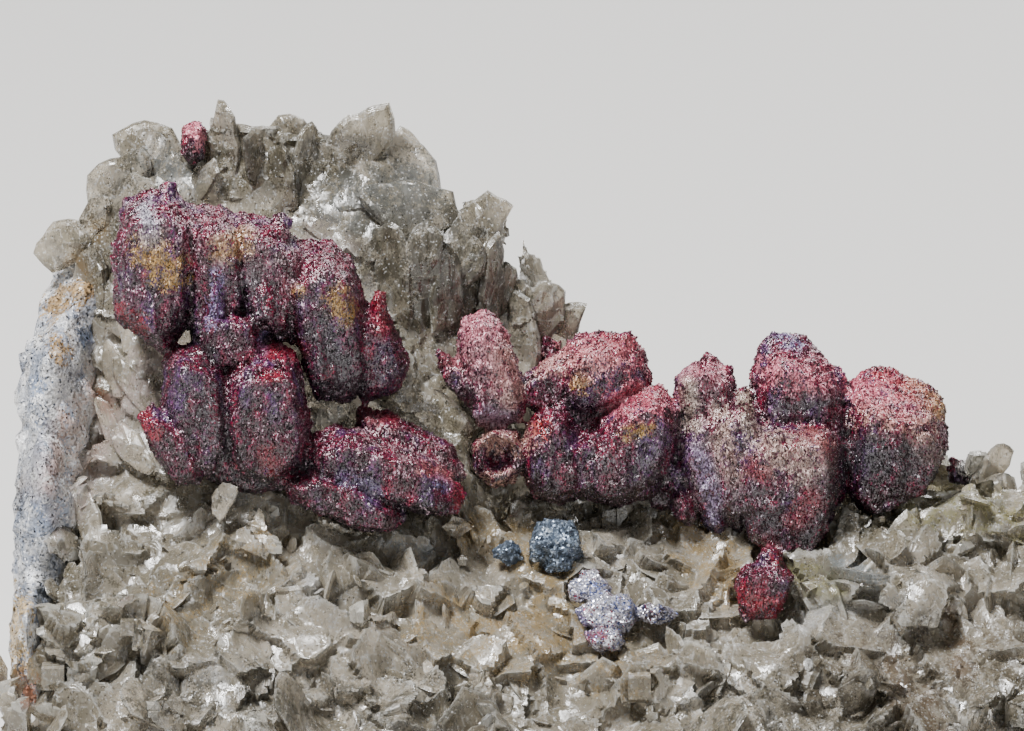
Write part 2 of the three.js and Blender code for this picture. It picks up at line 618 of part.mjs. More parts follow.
// Grey native metal beside the proustite, and the sparkling sulphide crust below it, as lumps.
const GREY_LUMPS = {
  grey_nodule_large: [
    { at: [27.7, 27.3, -4.3], across: 1.4, deep: 1.3, high: 1.45, points: 26 },
    { at: [28.4, 26.8, -4.8], across: 0.8, deep: 0.7, high: 0.8, points: 14 },
  ],
  grey_nodule_small: [{ at: [25.4, 27.6, -4.5], across: 0.9, deep: 0.7, high: 0.6, points: 18 }],
  silvery_crust: [
    { at: [29.5, 29.4, -6.0], across: 1.2, deep: 1.0, high: 0.9, points: 16 },
    { at: [30.4, 30.6, -7.1], across: 1.7, deep: 1.2, high: 1.1, points: 22 },
    { at: [32.6, 30.6, -7.0], across: 1.3, deep: 0.7, high: 0.5, points: 14 },
    { at: [30.2, 31.9, -8.2], across: 1.2, deep: 1.0, high: 0.7, points: 16 },
  ],
};

function proustiteSolid({ blocks, ribs, ring }, seed) {
  const made = [
    ...blocks.map((form, i) => block(form, stream(seed + i))),
    ...ribs.map((form, i) => rib(form, stream(seed + 50 + i))),
  ];
  if (ring) made.push(pittedRing(ring, stream(seed + 99)));
  return join(made);
}

// The room that a cluster leaves in the crust. Its ribs and knobs stand clear of the crust.
function proustiteRoom({ blocks, ring }, seed) {
  const made = blocks.map((form, i) => block(form, stream(seed + i), SOCKET_GAP));
  if (ring) made.push(pittedRing(ring, stream(seed + 99), SOCKET_GAP));
  return join(made);
}

function greySolid(lumps, seed, grow = 0) {
  const placed = lumps.map(({ at, ...sizes }) => ({ at: seen(...at), ...sizes }));
  return join(placed.map((form, i) => lump(form, stream(seed + i), grow)));
}

// The wall rock: a sawn slab under the crust, a wall up its left side and a lower one behind.
const SLAB_OUTLINE = [
  [-23.5, -9.5], [-20, -14], [-12, -15.6], [-2, -16], [9, -15.4], [19, -15.8], [26, -12.5], [28.6, -6],
  [28, 3], [25, 9.5], [16, 12.2], [5, 13], [-6, 12.4], [-15, 12.8], [-21.5, 10.5], [-24, 4],
];
const ROCK_CHUNKS = [
  { at: [-23.8, -4.4, 6.4], across: 1.4, deep: 6.2, high: 6.4 },
  { at: [-23.4, -1, 13], across: 1.7, deep: 5.0, high: 6 },
  { at: [-22.8, 2.2, 18.4], across: 2.0, deep: 4.6, high: 5.4 },
  { at: [-21.6, 5, 22], across: 2.3, deep: 3.2, high: 3.6 },
  { at: [-20, 8, 12], across: 3.9, deep: 4, high: 9 },
  { at: [-9.0, 10.6, 6.6], across: 8.4, deep: 3.0, high: 7.0 },
  { at: [4.5, 10.5, 4.8], across: 7.0, deep: 2.8, high: 4.4 },
  { at: [16.0, 9.8, 4.2], across: 6.6, deep: 2.6, high: 3.2 },
];

function wallRock(grow = 0) {
  const random = stream(71);
  const slab = SLAB_OUTLINE.flatMap(([x, y]) => {
    const out = 1 + grow / Math.hypot(x, y);
    const swell = between(random, 1.01, 1.05);
    const inset = between(random, 0.93, 0.98);
    const high = BASE_THICKNESS + between(random, -0.5, 0.5) + grow;
    return [
      new THREE.Vector3(x * out, y * out, -1),
      new THREE.Vector3(x * out * swell, y * out * swell, 0.45 * BASE_THICKNESS),
      new THREE.Vector3(x * out * inset, y * out * inset, high),
    ];
  });
  const chunks = ROCK_CHUNKS.map(({ at, ...sizes }, i) =>
    lump({ at: new THREE.Vector3(...at), points: 15, boxy: 0.7, ...sizes }, stream(300 + i), grow),
  );
  return join([convex(slab), ...chunks]);
}

// Everything under the sawn base, which cuts the specimen off flat.
function belowBase() {
  const [wide, deep] = [120, 20];
  return solid(new THREE.BoxGeometry(wide, wide, deep).translate(0, 0, -deep / 2));
}

function named(name, whole, material) {
  const mesh = new THREE.Mesh(geometryOf(whole), material);
  mesh.name = name;
  return mesh;
}

const proustite = new THREE.MeshStandardMaterial({ color: 0x7d2438, roughness: 0.38, metalness: 0.25 });
const calcite = new THREE.MeshStandardMaterial({ color: 0xa39a86, roughness: 0.35, metalness: 0 });
const rock = new THREE.MeshStandardMaterial({ color: 0x8c9096, roughness: 0.7, metalness: 0.1 });
const greyMetal = new THREE.MeshStandardMaterial({ color: 0x59626c, roughness: 0.45, metalness: 0.6 });
const silvery = new THREE.MeshStandardMaterial({ color: 0x9a97a8, roughness: 0.3, metalness: 0.7 });

const specimen = new THREE.Group();
const sockets = [];
Object.entries(PROUSTITE).forEach(([name, crystals], i) => {
  const seed = 1000 * (i + 1);
  specimen.add(named(name, largest(proustiteSolid(crystals, seed)), proustite));
  sockets.push(proustiteRoom(crystals, seed));
});
Object.entries(GREY_LUMPS).forEach(([name, lumps], i) => {
  const seed = 500 + 20 * i;
  const material = name === "silvery_crust" ? silvery : greyMetal;
  specimen.add(named(name, largest(greySolid(lumps, seed)), material));
  sockets.push(greySolid(lumps, seed, SOCKET_GAP));
});

const blades = [...LARGE_BLADES.map(largeBlade), ...strewnBlades(), ...sideBlades()];
const crust = join([crustMass(), ...blades]);
const room = join([...sockets, wallRock(SOCKET_GAP), belowBase()]);
specimen.add(named("calcite_crust", largest(crust.subtract(room)), calcite));
specimen.add(named("wall_rock", largest(wallRock().subtract(belowBase())), rock));

export default specimen;
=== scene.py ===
"""A specimen of proustite crystals on bladed calcite, dressed over its measured solids."""

import math

import bmesh
import bpy
import numpy as np
from bpy.props import FloatProperty, FloatVectorProperty, IntProperty, PointerProperty
from mathutils import Euler, Matrix, Vector


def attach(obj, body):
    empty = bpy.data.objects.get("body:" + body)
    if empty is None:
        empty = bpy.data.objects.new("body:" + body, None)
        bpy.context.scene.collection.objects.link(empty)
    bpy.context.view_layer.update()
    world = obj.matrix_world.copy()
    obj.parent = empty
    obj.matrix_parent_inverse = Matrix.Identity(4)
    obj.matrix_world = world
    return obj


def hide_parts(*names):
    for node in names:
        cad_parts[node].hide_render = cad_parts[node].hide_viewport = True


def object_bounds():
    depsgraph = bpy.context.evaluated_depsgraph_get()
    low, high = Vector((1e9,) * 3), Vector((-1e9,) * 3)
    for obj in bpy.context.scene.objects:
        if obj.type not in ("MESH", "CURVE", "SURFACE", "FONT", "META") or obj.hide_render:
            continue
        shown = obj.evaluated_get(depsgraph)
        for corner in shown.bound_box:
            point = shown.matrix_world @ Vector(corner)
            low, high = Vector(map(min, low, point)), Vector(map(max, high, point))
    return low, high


bl_info = {
    "name": "Proustite Specimen",
    "version": (1, 0, 0),
    "blender": (4, 5, 0),
    "location": "View3D > Sidebar > Specimen",
    "description": "Proustite crystals on bladed calcite with their wall rock",
    "category": "Object",
}

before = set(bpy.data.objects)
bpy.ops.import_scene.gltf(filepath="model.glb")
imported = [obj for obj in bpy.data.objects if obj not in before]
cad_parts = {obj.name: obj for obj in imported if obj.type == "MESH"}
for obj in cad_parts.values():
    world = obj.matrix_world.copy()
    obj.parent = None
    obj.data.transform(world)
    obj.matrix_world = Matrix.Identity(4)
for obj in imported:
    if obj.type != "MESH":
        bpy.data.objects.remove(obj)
SOLID_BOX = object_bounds()

MM = 0.001
MOST_TRIANGLES = 190000
SHARP_ANGLE = math.radians(38)

# How far the finished pieces may stand out past the box of the solids.
PROUD = 0.2 * MM

# The size of the even faces that each sort of piece is remeshed in.
ROCK_VOXEL = 0.42 * MM
CRUST_VOXEL = 0.19 * MM
CLUSTER_VOXEL = 0.135 * MM
SMALL_CRYSTAL_VOXEL = 0.1 * MM
GREY_VOXEL = 0.08 * MM

# Where each stream of random numbers starts.
BLADE_SEED = 40
GRAIN_SEED = 70
LARGE_BLADE_SEED = 500
CRUMB_SEED = 11

# The front view that the specimen is measured in. Places in it are across and down, in millimetres.
VIEW_ELEVATION = math.radians(16)
VIEW_CENTRE_HEIGHT = 21.5
VIEW_MIDDLE = (25.6, 18.3)
VIEW_WIDTH = 51.2
CAMERA_DISTANCE = 500.0
SENSOR_WIDTH = 36.0

# How far the floor reaches to each side, in metres, and the light that comes from all around.
FLOOR_REACH = 3.0
SKY_COLOUR = (0.9, 0.92, 0.95, 1)
SKY_STRENGTH = 0.11

PROUSTITE_NODES = (
    "proustite_left_cluster",
    "proustite_right_cluster",
    "proustite_top_crystal",
    "proustite_back_crystal",
    "proustite_crest_crystal",
)
GREY_NODES = ("grey_nodule_large", "grey_nodule_small", "silvery_crust")


def linear(red, green, blue):
    """A display colour from 0 to 255 as the linear colour that materials use."""
    parts = [value / 255 for value in (red, green, blue)]
    return [part / 12.92 if part <= 0.04045 else ((part + 0.055) / 1.055) ** 2.4 for part in parts]


def colour_property(name, words, display):
    """A colour setting, given as a display colour from 0 to 255."""
    return FloatVectorProperty(
        name=name, description=words, subtype="COLOR", size=3, min=0, max=1, default=linear(*display)
    )


def length_property(name, words, millimetres):
    """A length setting, given in millimetres and kept in metres."""
    return FloatProperty(
        name=name, description=words, subtype="DISTANCE", unit="LENGTH", min=0, default=millimetres * MM
    )


def power_property(name, words, watts):
    """A setting for a light's power."""
    return FloatProperty(name=name, description=words, subtype="POWER", min=0, default=watts)


class ProustiteSettings(bpy.types.PropertyGroup):
    """Sizes and colours of the proustite crystals."""

    grain_size: length_property("Grain size", "Size of the grains that coat the crystals", 0.062)
    facet_size: length_property("Facet size", "Size of the angular lumps on the crystals", 0.75)
    rib_depth: length_property("Rib depth", "How deep the upright ribs on the faces are", 0.07)
    crumb_least: length_property("Least crumb", "Size of the smallest loose crystals on the faces", 0.06)
    crumb_greatest: length_property("Greatest crumb", "Size of the largest loose crystals", 0.13)
    crumbs_per_mm2: FloatProperty(
        name="Crumbs per mm2", description="Loose crystals on each square millimetre", min=0, default=14.0
    )
    wine: colour_property("Wine", "The darkest red grains", (30, 5, 14))
    # Crimson tops and plum upright faces are partly painted light: the faces that look up are lighter.
    crimson: colour_property("Crimson", "The red of the tops", (102, 16, 46))
    ruby: colour_property("Ruby", "The clearest red grains", (144, 20, 52))
    plum: colour_property("Plum", "The purple of the upright faces", (60, 17, 46))
    rose: colour_property("Rose", "The pink grains", (178, 122, 146))
    lilac: colour_property("Lilac", "The grains with a violet sheen", (84, 56, 104))
    # Blush and rose grains also stand in for painted glints.
    blush: colour_property("Blush", "The palest grains", (226, 196, 212))
    # Painted shade: the near-black grains of the undersides and crevices.
    underside_shade: colour_property("Soot", "The dark grains on the undersides", (14, 10, 13))
    dust: colour_property("Dust", "The beige grey dust on the lower faces", (80, 68, 72))


class CalciteSettings(bpy.types.PropertyGroup):
    """Sizes and colours of the calcite crust and its blades."""

    blade_least: length_property("Least blade", "Half length of the smallest strewn blades", 1.2)
    blade_greatest: length_property("Greatest blade", "Half length of the largest strewn blades", 2.8)
    blade_spacing: length_property("Blade spacing", "Least distance between strewn blades", 2.0)
    flake_least: length_property("Least flake", "Half length of the smallest flakes", 0.3)
    flake_greatest: length_property("Greatest flake", "Half length of the largest flakes", 1.0)
    flake_spacing: length_property("Flake spacing", "Least distance between flakes", 1.35)
    pale: colour_property("Pale", "The light body colour", (222, 211, 192))
    olive: colour_property("Olive", "The darker body colour", (157, 148, 129))
    # The rim white is partly a painted highlight on thin edges.
    rim: colour_property("Rim", "The whitish colour of the thin rims", (226, 223, 213))
    # The flake white also serves for painted edge lines and painted glints.
    flake: colour_property("Flake", "The white of fresh cleavage flakes", (240, 240, 238))


class RockSettings(bpy.types.PropertyGroup):
    """Colours of the wall rock."""

    pale: colour_property("Pale", "The light grains", (232, 231, 230))
    slate: colour_property("Slate", "The blue grey body", (140, 147, 161))
    dark: colour_property("Dark", "The dark specks", (84, 90, 104))
    glint: colour_property("Glint", "The silvery grains", (246, 247, 250))


class MetalSettings(bpy.types.PropertyGroup):
    """Colours of the grey native metal and of the silvery crust."""

    slate: colour_property("Slate", "The dark blue grey of the nodules", (116, 129, 146))
    glint: colour_property("Glint", "The light points on the nodules", (196, 208, 220))
    silver: colour_property("Silver", "The silvery crust", (222, 220, 230))
    blue: colour_property("Blue", "The blue sheen of the silvery crust", (86, 96, 142))
    red: colour_property("Red", "The red grains at the silvery crust's edge", (140, 40, 62))


class StageSettings(bpy.types.PropertyGroup):
    """The floor and the light."""

    floor: colour_property("Floor", "The plain pale floor", (216, 214, 211))
    key_power: power_property("Key light", "Power of the large soft light", 4.3)
    fill_power: power_property("Fill light", "Power of the front light", 0.35)
    back_power: power_property("Back light", "Power of the light behind", 1.0)
    seed: IntProperty(name="Seed", description="Start of everything random", default=7, min=0)


# Building node trees.


class Nodes:
    """Adds nodes to one tree and links them."""

    def __init__(self, tree):
        self.tree = tree

    def put(self, socket, value):
        if isinstance(value, bpy.types.NodeSocket):
            self.tree.links.new(value, socket)
        elif socket.type == "RGBA" and len(value) == 3:
            socket.default_value = (*value, 1)
        else:
            socket.default_value = value

    def add(self, kind, values=None, **settings):
        made = self.tree.nodes.new(kind)
        for name, value in settings.items():
            setattr(made, name, value)
        self.fill(made, values or {})
        return made

    def fill(self, node, values):
        """Puts a value or a link on each of these inputs of a node."""
        for key, value in values.items():
            self.put(node.inputs[key], value)

    def math(self, operation, first, second=0.0, clamp=False):
        values = {0: first, 1: second}
        return self.add("ShaderNodeMath", values, operation=operation, use_clamp=clamp).outputs[0]

    def vector(self, operation, first, second=(0.0, 0.0, 0.0)):
        return self.add("ShaderNodeVectorMath", {0: first, 1: second}, operation=operation).outputs[0]

    def scaled(self, vector, factor):
        values = {0: vector, 3: factor}
        return self.add("ShaderNodeVectorMath", values, operation="SCALE").outputs[0]

    def spread(self, value, low, high, to_low=0.0, to_high=1.0):
        """Maps a value from one range to another and holds it there."""
        values = {0: value, 1: low, 2: high, 3: to_low, 4: to_high}
        return self.add("ShaderNodeMapRange", values, clamp=True).outputs[0]

    def mix(self, factor, first, second, blend="MIX"):
        values = {0: factor, 6: first, 7: second}
        return self.add("ShaderNodeMix", values, data_type="RGBA", blend_type=blend).outputs[2]

    def noise(self, place, size, detail=2.0):
        """Soft noise whose lumps are about this large."""
        values = {"Vector": place, "Scale": 1 / size, "Detail": detail}
        return self.add("ShaderNodeTexNoise", values).outputs[0]

    def colour_noise(self, place, size):
        """Three soft noises in one vector, each from about -0.5 to 0.5."""
        made = self.add("ShaderNodeTexNoise", {"Vector": place, "Scale": 1 / size, "Detail": 1.0})
        return self.vector("SUBTRACT", made.outputs["Color"], (0.5, 0.5, 0.5))

    def palette(self, value, steps):
        """A colour for each range of the value: steps hold where a colour starts, and the colour."""
        ramp = self.add("ShaderNodeValToRGB", {0: value})
        ramp.color_ramp.interpolation = "CONSTANT"
        stops = ramp.color_ramp.elements
        while len(stops) < len(steps):
            stops.new(1.0)
        for stop, (start, colour) in zip(stops, steps):
            stop.position = start
            stop.color = (*colour, 1)
        return ramp.outputs[0]


def open_tree(name, kind, inputs, outputs):
    """A new node group with named sockets, its builder, its input node and its output node."""
    tree = bpy.data.node_groups.new(name, kind)
    for socket_name, socket_type, default in inputs:
        socket = tree.interface.new_socket(socket_name, in_out="INPUT", socket_type=socket_type)
        if default is not None:
            socket.default_value = default
    for socket_name, socket_type in outputs:
        tree.interface.new_socket(socket_name, in_out="OUTPUT", socket_type=socket_type)
    nodes = Nodes(tree)
    return tree, nodes, nodes.add("NodeGroupInput"), nodes.add("NodeGroupOutput")


# Effects that several materials share.


def glitter_group():
    """Splits a surface into small grains that each face their own way and have their own number."""
    name = "Crystal glitter"
    if name in bpy.data.node_groups:
        return bpy.data.node_groups[name]
    inputs = [
        ("Place", "NodeSocketVector", None),
        ("Grain size", "NodeSocketFloat", 0.15 * MM),
        ("Tilt", "NodeSocketFloat", 0.8),
        ("Share", "NodeSocketFloat", 1.0),
        ("Normal", "NodeSocketVector", None),
    ]
    outputs = [
        ("Normal", "NodeSocketVector"),
        ("Number", "NodeSocketFloat"),
        ("Second number", "NodeSocketFloat"),
    ]
    tree, nodes, start, end = open_tree(name, "ShaderNodeTree", inputs, outputs)
    fine = nodes.math("DIVIDE", 1.0, start.outputs["Grain size"])
    cells = nodes.add("ShaderNodeTexVoronoi", {"Vector": start.outputs["Place"], "Scale": fine})
    parts = nodes.add("ShaderNodeSeparateColor", {0: cells.outputs["Color"]})
    chosen = nodes.math("LESS_THAN", parts.outputs[2], start.outputs["Share"])
    amount = nodes.math("MULTIPLY", chosen, start.outputs["Tilt"])
    lean = nodes.vector("SUBTRACT", cells.outputs["Color"], (0.5, 0.5, 0.5))
    turned = nodes.vector("ADD", start.outputs["Normal"], nodes.scaled(lean, amount))
    nodes.put(end.inputs["Normal"], nodes.vector("NORMALIZE", turned))
    nodes.put(end.inputs["Number"], parts.outputs[0])
    nodes.put(end.inputs["Second number"], parts.outputs[1])
    return tree


def stain_group():
    """Lays a stain, or a patch of painted shade or glint, over a colour, broken up at its edge and grainy
    inside.
    """
    name = "Stain"
    if name in bpy.data.node_groups:
        return bpy.data.node_groups[name]
    inputs = [
        ("Place", "NodeSocketVector", None),
        ("Colour", "NodeSocketColor", None),
        ("Stain colour", "NodeSocketColor", None),
        ("Strength", "NodeSocketFloat", 0.0),
        ("Patch size", "NodeSocketFloat", 0.5 * MM),
        ("Grain", "NodeSocketFloat", 0.5),
        ("Graininess", "NodeSocketFloat", 0.5),
    ]
    outputs = [("Colour", "NodeSocketColor"), ("Mask", "NodeSocketFloat")]
    tree, nodes, start, end = open_tree(name, "ShaderNodeTree", inputs, outputs)
    fine = nodes.math("DIVIDE", 1.0, start.outputs["Patch size"])
    values = {"Vector": start.outputs["Place"], "Scale": fine, "Detail": 4.0}
    patches = nodes.add("ShaderNodeTexNoise", values).outputs[0]
    rough = nodes.spread(patches, 0.3, 0.7, -0.6, 0.6)
    grain_part = nodes.math("MULTIPLY", nodes.math("SUBTRACT", start.outputs["Grain"], 0.5), 0.9)
    edge = nodes.math("ADD", start.outputs["Strength"], nodes.math("ADD", rough, grain_part))
    present = nodes.spread(start.outputs["Strength"], 0.02, 0.15)
    mask = nodes.math("MULTIPLY", nodes.spread(edge, 0.4, 0.9, 0.0, 0.85), present)
    light = nodes.spread(start.outputs["Grain"], 0.0, 1.0, 0.3, 1.7)
    even = nodes.math("SUBTRACT", 1.0, start.outputs["Graininess"])
    uneven = nodes.math("MULTIPLY", light, start.outputs["Graininess"])
    shade = nodes.add("ShaderNodeCombineColor", {i: nodes.math("ADD", uneven, even) for i in range(3)})
    grainy = nodes.mix(1.0, start.outputs["Stain colour"], shade.outputs[0], "MULTIPLY")
    nodes.put(end.inputs["Colour"], nodes.mix(mask, start.outputs["Colour"], grainy))
    nodes.put(end.inputs["Mask"], mask)
    return tree


def open_material(name):
    """A new material with its builder, its surface shader and the object's own coordinates."""
    material = bpy.data.materials.new(name)
    material.use_nodes = True
    material.node_tree.nodes.clear()
    nodes = Nodes(material.node_tree)
    shader = nodes.add("ShaderNodeBsdfPrincipled")
    output = nodes.add("ShaderNodeOutputMaterial")
    nodes.put(output.inputs["Surface"], shader.outputs["BSDF"])
    return material, nodes, shader, nodes.add("ShaderNodeTexCoord").outputs["Object"]


def glitter(nodes, place, size, tilt, share=1.0, normal=None):
    """Grains of this size, of which this share lean by up to this tilt."""
    if normal is None:
        normal = nodes.add("ShaderNodeNewGeometry").outputs["Normal"]
    values = {"Place": place, "Grain size": size, "Tilt": tilt, "Share": share, "Normal": normal}
    return nodes.add("ShaderNodeGroup", values, node_tree=glitter_group()).outputs


def stained(nodes, place, colour, grain, patch_size, graininess):
    """The colour with the piece's own stains, painted shade and painted glints on it, and the mask of
    them.
    """
    tint = nodes.add("ShaderNodeAttribute", attribute_name="tint", attribute_type="GEOMETRY")
    values = {
        "Place": place,
        "Colour": colour,
        "Stain colour": tint.outputs["Color"],
        "Strength": tint.outputs["Alpha"],
        "Patch size": patch_size,
        "Grain": grain,
        "Graininess": graininess,
    }
    return nodes.add("ShaderNodeGroup", values, node_tree=stain_group()).outputs


def amount_of(nodes, name):
    """A number that the piece carries at each of its points."""
    return nodes.add("ShaderNodeAttribute", attribute_name=name, attribute_type="GEOMETRY").outputs["Fac"]


def proustite_material(settings):
    """Dark crimson and plum with ruby, lilac and pale grains, the pale ones painted glints; the tops
    lighter crimson as partly painted light, and dusty dark undersides that are partly painted shade.
    """
    material, nodes, shader, place = open_material("proustite grains")
    upright = nodes.vector("MULTIPLY", place, (1.0, 1.0, 0.4))
    clumps = nodes.noise(upright, 1.3 * MM, 4.0)
    patches = nodes.noise(upright, 0.45 * MM, 4.0)
    grit = nodes.noise(place, 0.11 * MM, 3.0)
    relief = nodes.add("ShaderNodeBump", {"Strength": 0.9, "Distance": 0.06 * MM, "Height": grit})
    drawn_out = nodes.vector("MULTIPLY", place, (1.0, 1.0, 0.6))
    grains = glitter(nodes, drawn_out, settings.grain_size, 0.7, normal=relief.outputs[0])
    shine = glitter(nodes, drawn_out, settings.grain_size, 2.0, 0.35, grains["Normal"])
    first = grains["Number"]
    second = grains["Second number"]
    facing = nodes.add("ShaderNodeNewGeometry").outputs["Normal"]
    up = nodes.add("ShaderNodeSeparateXYZ", {0: facing}).outputs["Z"]
    uneven = nodes.spread(clumps, 0.35, 0.65, -0.5, 0.5)
    top = nodes.math("ADD", nodes.spread(up, -0.3, 0.8), uneven, True)
    edge_wear_and_sheen = nodes.spread(patches, 0.35, 0.6, 0.2, 0.9)
    ridge = nodes.math("MULTIPLY", amount_of(nodes, "ridge"), edge_wear_and_sheen)
    # Partly the crystals' own hue, partly painted light: faces that look up are lighter crimson, upright
    # faces darker plum.
    hue = nodes.mix(top, settings.plum, settings.crimson)
    hue = nodes.mix(nodes.spread(patches, 0.5, 0.62, 0.0, 0.8), hue, settings.wine)
    hue = nodes.mix(nodes.spread(patches, 0.44, 0.34, 0.0, 0.45), hue, settings.ruby)
    hue = nodes.mix(nodes.spread(clumps, 0.46, 0.36, 0.0, 0.6), hue, settings.lilac)
    # Ridges a little rosier: partly wear, partly a painted highlight where edges catch the light.
    hue = nodes.mix(nodes.math("MULTIPLY", ridge, 0.1), hue, settings.rose)
    hue = nodes.scaled(hue, nodes.spread(first, 0.0, 1.0, 0.1, 1.75))
    # Painted glints: pale rose to blush grains stand in for highlights, more of them on faces that look
    # up.
    light = nodes.math("GREATER_THAN", second, nodes.spread(top, 0.2, 1.0, 0.95, 0.84))
    pale = nodes.mix(first, settings.rose, settings.blush)
    hue = nodes.mix(nodes.math("MULTIPLY", light, 0.92), hue, pale)
    # Dust and painted shade: near-black, dark plum and beige grey grains for the undersides and crevices.
    greys = nodes.palette(
        nodes.math("ADD", first, nodes.spread(patches, 0.3, 0.7, -0.2, 0.2), True),
        [
            (0.0, settings.underside_shade),
            (0.4, [0.5 * part for part in settings.plum]),
            (0.55, [0.45 * part for part in settings.dust]),
            (0.76, settings.dust),
            (0.94, settings.blush),
        ],
    )
    # Partly dust, partly painted shade: the stored darkness of crevices and downward faces turns the
    # colour grey and dark.
    gloom = nodes.math("ADD", amount_of(nodes, "gloom"), nodes.spread(clumps, 0.3, 0.7, 0.3, -0.3))
    grain_dust_and_shade = nodes.math("ADD", gloom, nodes.spread(second, 0, 1, -0.2, 0.2))
    colour = nodes.mix(nodes.spread(grain_dust_and_shade, 0.48, 0.85), hue, greys)
    final = stained(nodes, place, colour, second, 0.55 * MM, 0.8)
    values = {
        "Base Color": final["Colour"],
        "Roughness": nodes.spread(second, 0, 1, 0.12, 0.42),
        "Metallic": nodes.spread(final["Mask"], 0, 1, 0.15, 0.05),
        "IOR": 1.9,
        "Normal": shine["Normal"],
    }
    nodes.fill(shader, values)
    return material


def calcite_material(settings):
    """Cloudy grey beige crystal with whitish rims, partly wear and partly painted highlight, olive depths
    with painted shade in the hollows, painted edge lines and fine painted glints.
    """
    name = "cloudy calcite"
    if name in bpy.data.materials:
        return bpy.data.materials[name]
    material, nodes, shader, place = open_material(name)
    tone = amount_of(nodes, "tone")
    rim = amount_of(nodes, "rim")
    cloud = nodes.noise(place, 1.8 * MM, 2.0)
    wide = nodes.noise(place, 6.0 * MM, 1.0)
    fine = nodes.noise(place, 0.25 * MM, 4.0)
    bent = nodes.vector("ADD", place, nodes.scaled(nodes.colour_noise(place, 1.5 * MM), 0.9 * MM))
    facet_size = 1.1 * MM
    facets = glitter(nodes, bent, facet_size, 0.5)
    own = nodes.spread(tone, 0, 1, -0.35, 0.5)
    mixed = nodes.math("ADD", nodes.spread(cloud, 0.35, 0.65, 0.0, 0.6), own)
    mixed = nodes.math("ADD", mixed, nodes.spread(fine, 0.35, 0.65, -0.12, 0.12))
    mixed = nodes.math("ADD", mixed, nodes.spread(wide, 0.35, 0.65, -0.3, 0.25))
    mixed = nodes.math("ADD", mixed, nodes.spread(facets["Number"], 0, 1, -0.3, 0.3))
    # Painted shade: darker in the hollows of the crust.
    mixed = nodes.math("SUBTRACT", mixed, nodes.math("MULTIPLY", amount_of(nodes, "hollow"), 0.2), True)
    body = nodes.mix(mixed, settings.olive, settings.pale)
    body = nodes.mix(nodes.math("GREATER_THAN", tone, 0.975), body, settings.flake)
    # Whitish rims and crests: partly wear, partly a painted highlight where thin edges catch the light.
    uneven = nodes.spread(fine, 0.4, 0.7, -0.35, 0.2)
    edge_wear_and_sheen = nodes.math("ADD", nodes.spread(rim, 0.45, 0.95), uneven, True)
    body = nodes.mix(edge_wear_and_sheen, body, settings.rim)
    # Painted highlight: thin flake white lines along the edges of the shader facets.
    cells = {"Vector": bent, "Scale": 1 / facet_size}
    edges = nodes.add("ShaderNodeTexVoronoi", cells, feature="DISTANCE_TO_EDGE").outputs["Distance"]
    thin = nodes.spread(edges, 0.0, 0.04, 0.75, 0.0)
    body = nodes.mix(nodes.math("MULTIPLY", thin, nodes.spread(fine, 0.42, 0.6)), body, settings.flake)
    streaks = nodes.noise(nodes.vector("MULTIPLY", place, (1.0, 1.0, 0.3)), 0.4 * MM, 4.0)
    wobble = nodes.math("ADD", nodes.math("MULTIPLY", rim, 20.0), nodes.math("MULTIPLY", cloud, 30.0))
    steps = nodes.math("MULTIPLY", nodes.math("SINE", wobble), 0.06)
    height = nodes.math("ADD", streaks, steps)
    values = {"Strength": 0.6, "Distance": 0.12 * MM, "Height": height, "Normal": facets["Normal"]}
    relief = nodes.add("ShaderNodeBump", values)
    shine = glitter(nodes, place, 0.07 * MM, 1.4, 0.03, relief.outputs[0])
    # Painted glints: sparse tiny grains turned flake white.
    glint_dots = nodes.math("GREATER_THAN", shine["Number"], nodes.spread(cloud, 0.3, 0.7, 0.99, 0.93))
    final = stained(nodes, place, body, shine["Second number"], 0.8 * MM, 0.1)
    values = {
        "Base Color": nodes.mix(glint_dots, final["Colour"], settings.flake),
        "Roughness": nodes.spread(streaks, 0.35, 0.65, 0.12, 0.42),
        "IOR": 1.6,
        "Transmission Weight": 0.65,
        "Normal": shine["Normal"],
    }
    nodes.fill(shader, values)
    return material


def rock_material(settings):
    """Granular blue grey rock with dark specks, pale grains and glints."""
    material, nodes, shader, place = open_material("granular rock")
    cloud = nodes.noise(place, 1.8 * MM, 4.0)
    bent = nodes.vector("ADD", place, nodes.scaled(nodes.colour_noise(place, 1.2 * MM), 0.8 * MM))
    facets = glitter(nodes, bent, 0.9 * MM, 0.6)
    grit = nodes.noise(place, 0.2 * MM, 4.0)
    values = {"Strength": 0.8, "Distance": 0.12 * MM, "Height": grit, "Normal": facets["Normal"]}
    relief = nodes.add("ShaderNodeBump", values)
    shine = glitter(nodes, place, 0.1 * MM, 1.8, 0.4, relief.outputs[0])
    own = nodes.spread(facets["Number"], 0, 1, -0.4, 0.4)
    light = nodes.math("ADD", nodes.spread(cloud, 0.35, 0.65), own)
    light = nodes.math("ADD", light, nodes.spread(grit, 0.35, 0.65, -0.3, 0.3), True)
    body = nodes.mix(light, settings.slate, settings.pale)
    body = nodes.mix(nodes.math("LESS_THAN", shine["Number"], 0.03), body, settings.dark)
    body = nodes.mix(nodes.math("GREATER_THAN", shine["Number"], 0.95), body, settings.glint)
    final = stained(nodes, place, body, shine["Second number"], 1.0 * MM, 0.25)
    values = {
        "Base Color": final["Colour"],
        "Roughness": nodes.spread(shine["Second number"], 0, 1, 0.2, 0.7),
        "Metallic": 0.15,
        "Normal": shine["Normal"],
    }
    nodes.fill(shader, values)
    return material


